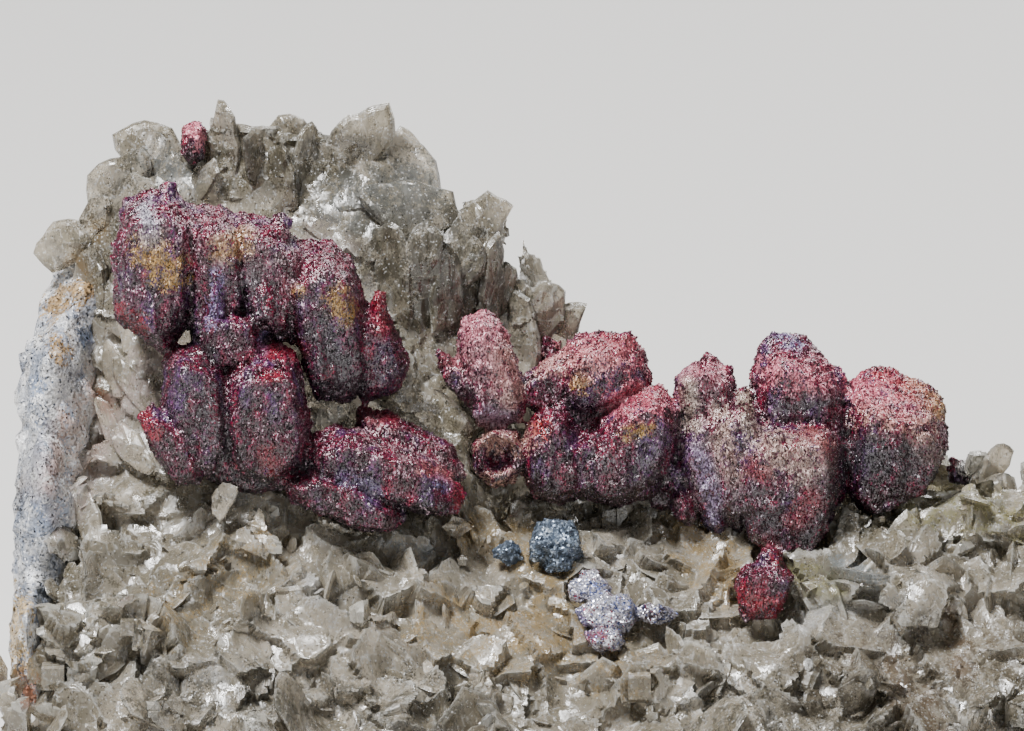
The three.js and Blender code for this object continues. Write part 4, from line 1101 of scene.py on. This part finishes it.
def slant_feet(piece):
    """Narrows the broad lower crystals of the right cluster towards their feet."""
    places = points_of(piece.data)
    across, down = front_view(places).T
    share = np.clip((down - FOOT_TOP) / FOOT_LENGTH, 0, 1) ** 2
    share *= np.clip((places[:, 1] / MM - FOOT_NEAREST) / 0.6, 0, 1)
    places[:, 0] += share * np.interp(across, FOOT_ACROSS, FOOT_RIGHT) * MM
    places[:, 2] -= share * np.interp(across, FOOT_ACROSS, FOOT_DOWN) * MM / math.cos(VIEW_ELEVATION)
    piece.data.vertices.foreach_set("co", places.ravel())
    piece.data.update()


def stain(piece, stains):
    """Stores the colour of the stains, painted shade and painted glints, and its strength, at each point
    of a piece.
    """
    places = front_view(points_of(piece.data))
    tint = np.zeros((len(places), 4), np.float32)
    for display, start, end, reach, strength in stains:
        start, end = np.array(start), np.array(end)
        line = end - start
        along = np.clip((places - start) @ line / max(line @ line, 1e-9), 0, 1)
        away = np.linalg.norm(places - start - along[:, None] * line, axis=1)
        share = strength * np.clip(STAIN_FADES_AT - away / reach, 0, 1)
        before = tint[:, 3]
        total = np.maximum(before + share, 1e-6)
        new_colour = np.outer(share, linear(*display)) + before[:, None] * tint[:, :3]
        tint[:, :3] = np.where(share[:, None] > 0, new_colour / total[:, None], tint[:, :3])
        tint[:, 3] = 1 - (1 - before) * (1 - share)
    made = piece.data.attributes.new("tint", "FLOAT_COLOR", "POINT")
    made.data.foreach_set("color", tint.ravel())


def store(piece, name, values):
    """Stores one number at each point of a piece."""
    made = piece.data.attributes.new(name, "FLOAT", "POINT")
    made.data.foreach_set("value", np.asarray(values, np.float32))


def convexity(piece, rounds):
    """How far each point stands out from the same surface smoothed this many times."""
    mesh = piece.data
    ends = np.empty(2 * len(mesh.edges), np.int32)
    mesh.edges.foreach_get("vertices", ends)
    first, second = ends.reshape(-1, 2).T
    places = points_of(mesh).astype(np.float64)
    near = np.bincount(ends, minlength=len(places))
    smooth = places.copy()
    for _ in range(rounds):
        total = np.empty_like(smooth)
        for axis in range(3):
            values = smooth[:, axis]
            total[:, axis] = np.bincount(first, values[second], len(places))
            total[:, axis] += np.bincount(second, values[first], len(places))
        smooth = 0.5 * smooth + 0.5 * total / np.maximum(near, 1)[:, None]
    return ((places - smooth) * points_of(mesh, "normal")).sum(axis=1)


def shade_depths(piece, crevices):
    """Stores how dusty and dark each point is, partly real dust and partly painted shade: most in crevices
    and on faces that look down.
    """
    facing = points_of(piece.data, "normal")[:, 2]
    store(piece, "gloom", np.clip(0.36 - 0.75 * facing + crevices, 0, 1))


def crevices_of(piece):
    """From -0.12 on ridges to 0.7 in the crevices between crystals."""
    return np.clip(-convexity(piece, 24) / (0.3 * MM), -0.12, 0.7)


def finish_piece(piece, replaced, smooth):
    """Shades a piece smooth or flat, hangs it under the root body and hides the solids that it replaces.
    """
    if smooth:
        piece.data.shade_smooth()
    else:
        piece.data.shade_flat()
    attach(piece, "root")
    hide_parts(*replaced)


class Draws:
    """A repeatable stream of random numbers."""

    def __init__(self, seed):
        self.source = np.random.default_rng(seed)

    def uniform(self, low, high):
        return float(self.source.uniform(low, high))


def outline(random, sides, points, point_share):
    """How far out a ragged angular outline reaches at each of its evenly spaced angles."""
    cuts = []
    for i in range(sides):
        angle = 2 * math.pi * (i + random.uniform(-0.3, 0.3)) / sides
        cuts.append((angle, random.uniform(0.74, 1.0)))
    reach = []
    for i in range(points):
        angle = 2 * math.pi * i / points
        limits = [far / math.cos(angle - at) for at, far in cuts if math.cos(angle - at) > 0.3]
        tip = 1 - point_share * abs(math.sin(angle)) ** 1.5
        reach.append(min([1.2, *limits]) * tip * random.uniform(0.93, 1.04))
    return reach


def plate(work, mark, centre, basis, sizes, reach, rings):
    """One ragged lens-shaped plate. rings hold how far out and how thick it is, from rim to middle."""
    wide, long, thick = sizes
    right, up, out = basis
    corners = len(reach)

    def loop_at(out_share, thick_share, side):
        loop = []
        for i in range(corners):
            angle = 2 * math.pi * i / corners
            across = right * (math.sin(angle) * wide * reach[i] * out_share)
            along = up * (math.cos(angle) * long * reach[i] * out_share)
            height = side * thick * thick_share * reach[(5 * i) % corners]
            loop.append(work.verts.new(centre + across + along + out * height))
        return loop

    rim = loop_at(*rings[0], 1)
    for vert in rim:
        vert[mark] = 1.0
    for side in (1, -1):
        loops = [rim, *(loop_at(out_share, thick_share, side) for out_share, thick_share in rings[1:])]
        middle = work.verts.new(centre + out * (side * thick * rings[-1][1]))
        for outer, inner in zip(loops, loops[1:]):
            for i in range(corners):
                j = (i + 1) % corners
                quad = [outer[j], outer[i], inner[i], inner[j]]
                work.faces.new(quad if side == 1 else quad[::-1])
        for i in range(corners):
            tri = [loops[-1][(i + 1) % corners], loops[-1][i], middle]
            work.faces.new(tri if side == 1 else tri[::-1])


def blade_shape(name, seed, corners, thick):
    """A small ragged blade of unit length, to be strewn."""
    random = Draws(seed)
    work = bmesh.new()
    mark = work.verts.layers.float.new("rim")
    basis = (Vector((1, 0, 0)), Vector((0, 1, 0)), Vector((0, 0, 1)))
    rings = [(1.0, 0.0), (0.8, 0.42)]
    sizes = (random.uniform(0.7, 1.0), 1.0, thick)
    reach = outline(random, 6, corners, random.uniform(0.0, 0.25))
    plate(work, mark, Vector(), basis, sizes, reach, rings)
    bmesh.ops.triangulate(work, faces=work.faces)
    return object_from(work, name)


def grain_shape(name, seed):
    """A tiny blocky crystal of unit size, to be strewn."""
    random = Draws(seed)
    work = bmesh.new()
    for side in (-0.5, 0.5):
        for i in range(4):
            angle = math.pi / 4 + i * math.pi / 2 + random.uniform(-0.3, 0.3)
            reach = random.uniform(0.35, 0.6) if side < 0 else random.uniform(0.2, 0.5)
            level = side + random.uniform(-0.15, 0.15)
            work.verts.new((math.cos(angle) * reach, math.sin(angle) * reach, level))
    bmesh.ops.convex_hull(work, input=work.verts)
    bmesh.ops.triangulate(work, faces=work.faces)
    bmesh.ops.recalc_face_normals(work, faces=work.faces)
    return object_from(work, name)


# The large blades that give the hump and the shelf their outline, as they stand in the front view:
# across, down and depth; how far they face right and up; how far they lean right; half length, half
# width and thickness.
LARGE_BLADES = [
    ((11.2, 7.7, 4.5), (-25, 5, 3), (2.7, 0.95, 0.6)),
    ((9.9, 9.3, 3.9), (-40, 10, -35), (1.9, 0.8, 0.5)),
    ((12.9, 8.4, 4.4), (55, 0, 25), (2.2, 1.0, 0.5)),
    ((14.1, 8.9, 3.9), (-20, 5, 12), (1.7, 0.75, 0.5)),
    ((15.2, 8.1, 4.7), (35, 5, -8), (1.9, 0.7, 0.5)),
    ((14.7, 7.3, 6.2), (5, 20, 60), (2.2, 1.7, 0.9)),
    ((18.9, 8.6, 5.6), (12, 30, 70), (3.4, 2.2, 1.4)),
    ((20.2, 10.3, 3.5), (15, 25, 75), (2.6, 1.6, 0.9)),
    ((17.0, 9.5, 4.5), (-10, 40, 80), (2.4, 1.5, 0.9)),
    ((16.7, 11.3, 3.4), (5, 35, 60), (2.1, 1.2, 0.8)),
    ((19.8, 13.7, 1.9), (-30, 5, 8), (3.0, 1.3, 0.9)),
    ((21.1, 13.9, 1.8), (10, 0, -5), (3.0, 1.3, 0.9)),
    ((22.3, 14.5, 2.0), (35, 5, -8), (2.6, 1.0, 0.7)),
    ((23.7, 11.7, 3.7), (20, 20, -50), (2.5, 1.4, 0.8)),
    ((23.4, 13.1, 2.9), (-15, 10, -20), (1.5, 0.9, 0.6)),
    ((24.5, 14.4, 3.2), (40, 0, -3), (2.3, 0.9, 0.7)),
    ((25.3, 14.3, 3.9), (20, 0, -15), (1.4, 0.5, 0.5)),
    ((26.9, 16.0, 4.0), (5, 5, -20), (2.4, 1.3, 0.7)),
    ((26.2, 16.6, 3.4), (-30, 5, 10), (2.1, 0.9, 0.6)),
    ((27.8, 16.9, 4.2), (15, 5, -35), (2.1, 1.1, 0.7)),
    ((3.0, 12.1, 4.0), (-20, 5, -50), (1.7, 1.3, 1.0)),
    ((4.6, 11.0, 4.2), (-30, 5, -20), (1.5, 0.9, 0.8)),
    ((5.8, 9.3, 4.8), (-15, 10, -30), (2.1, 1.4, 0.9)),
    ((7.7, 7.9, 5.4), (-10, 15, 50), (2.4, 1.7, 1.1)),
    ((6.5, 11.0, 3.7), (-30, 10, -10), (2.6, 1.4, 1.0)),
    ((5.3, 12.5, 3.6), (-20, 10, -25), (2.0, 1.2, 0.9)),
    ((4.5, 13.9, 3.0), (-30, 10, 20), (1.7, 1.1, 0.8)),
    ((6.0, 14.9, 2.4), (-15, 15, -10), (2.1, 1.2, 0.8)),
    ((6.6, 17.0, 1.2), (-20, 20, 35), (1.7, 0.8, 0.4)),
    ((5.7, 18.6, 0.6), (-35, 10, 30), (1.5, 0.7, 0.4)),
    ((6.9, 19.6, -0.4), (-5, 25, 40), (1.9, 0.8, 0.4)),
    ((5.5, 21.3, -0.8), (-30, 15, 35), (1.6, 0.7, 0.4)),
    ((6.6, 22.4, -1.8), (-15, 30, 50), (1.6, 0.8, 0.4)),
    ((49.2, 26.2, 0.8), (15, 55, 75), (2.6, 1.5, 0.8)),
    ((45.8, 26.6, 0.2), (-15, 45, 70), (2.6, 1.7, 1.0)),
    ((42.2, 27.9, -1.6), (-10, 40, 55), (2.2, 1.6, 0.8)),
    ((36.7, 27.7, -1.8), (10, 10, 20), (1.6, 1.1, 0.6)),
    ((32.7, 27.5, -1.4), (5, 40, 70), (3.0, 1.7, 0.8)),
    ((25.0, 29.7, -3.4), (-5, 45, 60), (2.8, 1.9, 0.9)),
    ((20.0, 28.3, -3.6), (15, 20, 30), (2.0, 1.5, 0.7)),
    ((11.3, 24.9, -5.2), (-15, 15, -20), (0.95, 0.6, 0.25)),
    ((4.6, 26.2, -4.6), (-35, 30, 35), (2.0, 0.8, 0.5)),
]


def large_blades():
    """The named large blades, with ragged rims."""
    work = bmesh.new()
    mark = work.verts.layers.float.new("rim")
    tones = work.verts.layers.float.new("tone")
    rings = [(1.0, 0.0), (0.92, 0.34), (0.78, 0.44)]
    for index, (at, (turn, nod, lean), (long, wide, thick)) in enumerate(LARGE_BLADES):
        random = Draws(LARGE_BLADE_SEED + index)
        angles = [math.radians(value) for value in (-nod, -lean, turn)]
        aim = Euler(angles, "YXZ").to_matrix()
        basis = (aim @ Vector((1, 0, 0)), aim @ Vector((0, 0, 1)), aim @ Vector((0, -1, 0)))
        sizes = [1.1 * value * MM for value in (wide, long, thick)]
        before = len(work.verts)
        reach = outline(random, 6, 18, random.uniform(0.0, 0.2))
        plate(work, mark, seen(*at), basis, sizes, reach, rings)
        work.verts.ensure_lookup_table()
        tone = random.uniform(0.2, 0.85)
        for vert in work.verts[before:]:
            vert[tones] = tone
    bmesh.ops.triangulate(work, faces=work.faces)
    return object_from(work, "calcite_large_blades")


# Operators, one for each group of like pieces.


class SPECIMEN_OT_wall_rock(bpy.types.Operator):
    """Builds the granular wall rock"""

    bl_idname = "specimen.wall_rock"
    bl_label = "Wall Rock"

    def execute(self, context):
        piece = solid_copy("rock", ["wall_rock"])
        remesh(piece, ROCK_VOXEL, rounds=3)
        values = {
            "Lump size": 2.4 * MM,
            "Lump depth": 0.15 * MM,
            "Grain size": 0.75 * MM,
            "Grain depth": 0.07 * MM,
            "Facet size": 1.8 * MM,
            "Facet steepness": 0.6,
            "Material": rock_material(context.scene.specimen_rock),
        }
        give(piece, relief_tree(), values)
        keep_inside(piece)
        stain(piece, ROCK_STAINS)
        finish_piece(piece, ["wall_rock"], True)
        return {"FINISHED"}


class SPECIMEN_OT_calcite_crust(bpy.types.Operator):
    """Builds the body of the calcite crust"""

    bl_idname = "specimen.calcite_crust"
    bl_label = "Calcite Crust"

    def execute(self, context):
        material = calcite_material(context.scene.specimen_calcite)
        piece = solid_copy("crust", ["calcite_crust"], CRUST_LAPS)
        remesh(piece, CRUST_VOXEL, rounds=1)
        values = {
            "Lump size": 1.3 * MM,
            "Lump depth": 0.1 * MM,
            "Grain size": 0.7 * MM,
            "Grain depth": 0.04 * MM,
            "Facet size": 3.0 * MM,
            "Facet steepness": 1.05,
            "Calmer above": 16.5 * MM,
            "Share there": 0.3,
            "Flat below": 1.4 * MM,
            "Material": material,
        }
        give(piece, relief_tree(), values)
        keep_inside(piece)
        store(piece, "tone", np.full(len(piece.data.vertices), CRUST_TONE))
        # Convex crests, whitened in the colour: partly wear, partly painted highlight.
        store(piece, "rim", np.clip(convexity(piece, 3) / (0.05 * MM) - 0.25, 0, 1))
        # Painted shade: how deep each point lies in a hollow, to darken it there.
        store(piece, "hollow", np.clip(-convexity(piece, 30) / (0.25 * MM), 0, 1))
        thin_out(piece, MOST_TRIANGLES)
        stain(piece, CALCITE_STAINS_AND_SHADE)
        finish_piece(piece, ["calcite_crust"], True)
        piece.data.set_sharp_from_angle(angle=SHARP_ANGLE)
        return {"FINISHED"}


class SPECIMEN_OT_calcite_blades(bpy.types.Operator):
    """Builds the large calcite blades and strews smaller ones over the crust"""

    bl_idname = "specimen.calcite_blades"
    bl_label = "Calcite Blades"

    def execute(self, context):
        settings = context.scene.specimen_calcite
        material = calcite_material(settings)
        large = large_blades()
        large.data.materials.append(material)
        keep_inside(large)
        stain(large, CALCITE_STAINS_AND_SHADE)
        finish_piece(large, ["calcite_crust"], False)
        clear = solid_copy("clear of", PROUSTITE_NODES + GREY_NODES, OPEN_PLACES)
        sorts = [("blade", 16, 0.14), ("flake", 8, 0.3)]
        for index, (sort, corners, share) in enumerate(sorts):
            seed = BLADE_SEED + 3 * index
            shapes = [blade_shape(f"shape {i}", seed + i, corners, 0.3) for i in range(3)]
            piece = solid_copy(f"calcite_{sort}s", ["calcite_crust"], CRUST_LAPS)
            values = {
                "Least distance": getattr(settings, f"{sort}_spacing"),
                "Most per square metre": 4e6,
                "Least size": getattr(settings, f"{sort}_least"),
                "Greatest size": getattr(settings, f"{sort}_greatest"),
                "Steepness": 0.85,
                "Steeper from": 8 * MM,
                "Lift": -0.5,
                "Sparse above": 16 * MM,
                "Share there": share,
                "Clear distance": 0.4 * MM,
                "Material": material,
                "Seed": context.scene.specimen_stage.seed + index,
            }
            strew(piece, shapes, clear, values)
            for shape in shapes:
                bpy.data.objects.remove(shape)
            keep_inside(piece)
            stain(piece, CALCITE_STAINS_AND_SHADE)
            finish_piece(piece, ["calcite_crust"], False)
        bpy.data.objects.remove(clear)
        return {"FINISHED"}


class SPECIMEN_OT_proustite(bpy.types.Operator):
    """Builds the proustite crystals and the crumbs that coat them"""

    bl_idname = "specimen.proustite"
    bl_label = "Proustite Crystals"

    def execute(self, context):
        settings = context.scene.specimen_proustite
        material = proustite_material(settings)
        shapes = [grain_shape(f"shape {i}", GRAIN_SEED + i) for i in range(3)]
        nothing = link("nothing near", bpy.data.meshes.new("nothing near"))
        for node in PROUSTITE_NODES:
            name = node.removeprefix("proustite_")
            piece = solid_copy(name, [node], RIGHT_JOINTS if "right" in node else ())
            remesh(piece, CLUSTER_VOXEL if "cluster" in node else SMALL_CRYSTAL_VOXEL, rounds=1)
            if "right" in node:
                slant_feet(piece)
            values = {
                "Rib size": 0.45 * MM,
                "Rib depth": settings.rib_depth,
                "Grain size": 0.32 * MM,
                "Grain depth": 0.075 * MM,
                "Facet size": settings.facet_size,
                "Facet steepness": 0.42,
                "Material": material,
            }
            give(piece, relief_tree(), values)
            crumbs = link(name + "_crumbs", piece.data.copy())
            values = {
                "Least distance": 0.16 * MM,
                "Most per square metre": settings.crumbs_per_mm2 / MM**2,
                "Least size": settings.crumb_least,
                "Greatest size": settings.crumb_greatest,
                "Steepness": 0.9,
                "Steeper from": 1.0,
                "Lift": 0.1,
                "Clear distance": -1.0,
                "Material": material,
                "Seed": context.scene.specimen_stage.seed + CRUMB_SEED,
            }
            strew(crumbs, shapes, nothing, values)
            for made in (piece, crumbs):
                keep_inside(made)
                stain(made, PROUSTITE_STAINS_AND_GLINT)
                shade_depths(made, crevices_of(made) if made == piece else 0.2)
                if made == piece:
                    # Ridges, a little rosier in the colour: partly wear, partly painted highlight.
                    store(made, "ridge", np.clip(convexity(made, 6) / (0.12 * MM) - 0.2, 0, 1))
                finish_piece(made, [node], made == piece)
        for extra in (*shapes, nothing):
            bpy.data.objects.remove(extra)
        return {"FINISHED"}


class SPECIMEN_OT_grey_metal(bpy.types.Operator):
    """Builds the grey nodules and the silvery crust below them"""

    bl_idname = "specimen.grey_metal"
    bl_label = "Grey Metal and Silvery Crust"

    def execute(self, context):
        settings = context.scene.specimen_metal
        nodule = nodule_material(settings)
        silvery = silvery_material(settings)
        for node in GREY_NODES:
            is_crust = node == "silvery_crust"
            piece = solid_copy("silvery" if is_crust else node.replace("grey_", ""), [node])
            remesh(piece, GREY_VOXEL, rounds=5)
            values = {
                "Lump size": 0.8 * MM,
                "Lump depth": 0.12 * MM,
                "Grain size": 0.28 * MM,
                "Grain depth": 0.06 * MM,
                "Facet size": 1.0 * MM,
                "Facet steepness": 0.6,
                "Material": silvery if is_crust else nodule,
            }
            give(piece, relief_tree(), values)
            keep_inside(piece)
            stain(piece, GREY_STAINS if is_crust else [])
            finish_piece(piece, [node], True)
        return {"FINISHED"}


class SPECIMEN_OT_stage(bpy.types.Operator):
    """Builds the floor, the lights and the camera"""

    bl_idname = "specimen.stage"
    bl_label = "Stage"

    def execute(self, context):
        settings = context.scene.specimen_stage
        middle = Vector((0, 0, VIEW_CENTRE_HEIGHT)) * MM
        self.floor(settings)
        lights = [
            ("Key", (-0.14, -0.1, 0.38), 0.12, settings.key_power),
            ("Fill", (0.16, -0.42, 0.16), 0.3, settings.fill_power),
            ("Back", (0.14, 0.3, 0.24), 0.2, settings.back_power),
        ]
        for name, place, size, power in lights:
            self.light(name, Vector(place), middle, size, power)
        world = bpy.data.worlds.new("Studio")
        context.scene.world = world
        world.use_nodes = True
        background = world.node_tree.nodes["Background"]
        background.inputs["Color"].default_value = SKY_COLOUR
        background.inputs["Strength"].default_value = SKY_STRENGTH
        self.camera(context, middle)
        return {"FINISHED"}

    def floor(self, settings):
        mesh = bpy.data.meshes.new("floor")
        signs = [(-1, -1), (1, -1), (1, 1), (-1, 1)]
        corners = [(x * FLOOR_REACH, y * FLOOR_REACH, 0) for x, y in signs]
        mesh.from_pydata(corners, [], [(0, 1, 2, 3)])
        floor = link("floor", mesh)
        material, nodes, shader, _ = open_material("floor")
        nodes.put(shader.inputs["Base Color"], settings.floor)
        nodes.put(shader.inputs["Roughness"], 0.7)
        mesh.materials.append(material)

    def light(self, name, place, target, size, power):
        data = bpy.data.lights.new(name, "AREA")
        data.shape = "DISK"
        data.size = size
        data.energy = power
        lamp = link(name, data)
        lamp.location = place
        lamp.rotation_euler = (target - place).to_track_quat("-Z", "Y").to_euler()
        lamp.visible_camera = False

    def camera(self, context, middle):
        data = bpy.data.cameras.new("Front view")
        data.sensor_width = SENSOR_WIDTH
        data.lens = SENSOR_WIDTH * CAMERA_DISTANCE / VIEW_WIDTH
        data.clip_start = 0.01
        data.clip_end = 20.0
        camera = link("Front view", data)
        back = Vector((0, -math.cos(VIEW_ELEVATION), math.sin(VIEW_ELEVATION)))
        camera.location = middle + back * CAMERA_DISTANCE * MM
        camera.rotation_euler = (-back).to_track_quat("-Z", "Y").to_euler()
        context.scene.camera = camera


STEPS = [
    "wall_rock",
    "calcite_crust",
    "calcite_blades",
    "proustite",
    "grey_metal",
    "stage",
]


class SPECIMEN_PT_parts(bpy.types.Panel):
    """Lists the steps that build the specimen"""

    bl_idname = "SPECIMEN_PT_parts"
    bl_label = "Proustite Specimen"
    bl_space_type = "VIEW_3D"
    bl_region_type = "UI"
    bl_category = "Specimen"

    def draw(self, context):
        for step in STEPS:
            self.layout.operator(f"specimen.{step}")
        for name in SETTINGS:
            box = self.layout.box()
            settings = getattr(context.scene, name)
            for key in settings.__annotations__:
                box.prop(settings, key)


SETTINGS = {
    "specimen_proustite": ProustiteSettings,
    "specimen_calcite": CalciteSettings,
    "specimen_rock": RockSettings,
    "specimen_metal": MetalSettings,
    "specimen_stage": StageSettings,
}

CLASSES = [
    SPECIMEN_OT_wall_rock,
    SPECIMEN_OT_calcite_crust,
    SPECIMEN_OT_calcite_blades,
    SPECIMEN_OT_proustite,
    SPECIMEN_OT_grey_metal,
    SPECIMEN_OT_stage,
    SPECIMEN_PT_parts,
]


def register():
    for kind in (*SETTINGS.values(), *CLASSES):
        bpy.utils.register_class(kind)
    for name, kind in SETTINGS.items():
        setattr(bpy.types.Scene, name, PointerProperty(type=kind))


def unregister():
    for name in SETTINGS:
        delattr(bpy.types.Scene, name)
    for kind in reversed((*SETTINGS.values(), *CLASSES)):
        bpy.utils.unregister_class(kind)


def main():
    register()
    for step in STEPS:
        getattr(bpy.ops.specimen, step)()


if __name__ == "__main__":
    main()
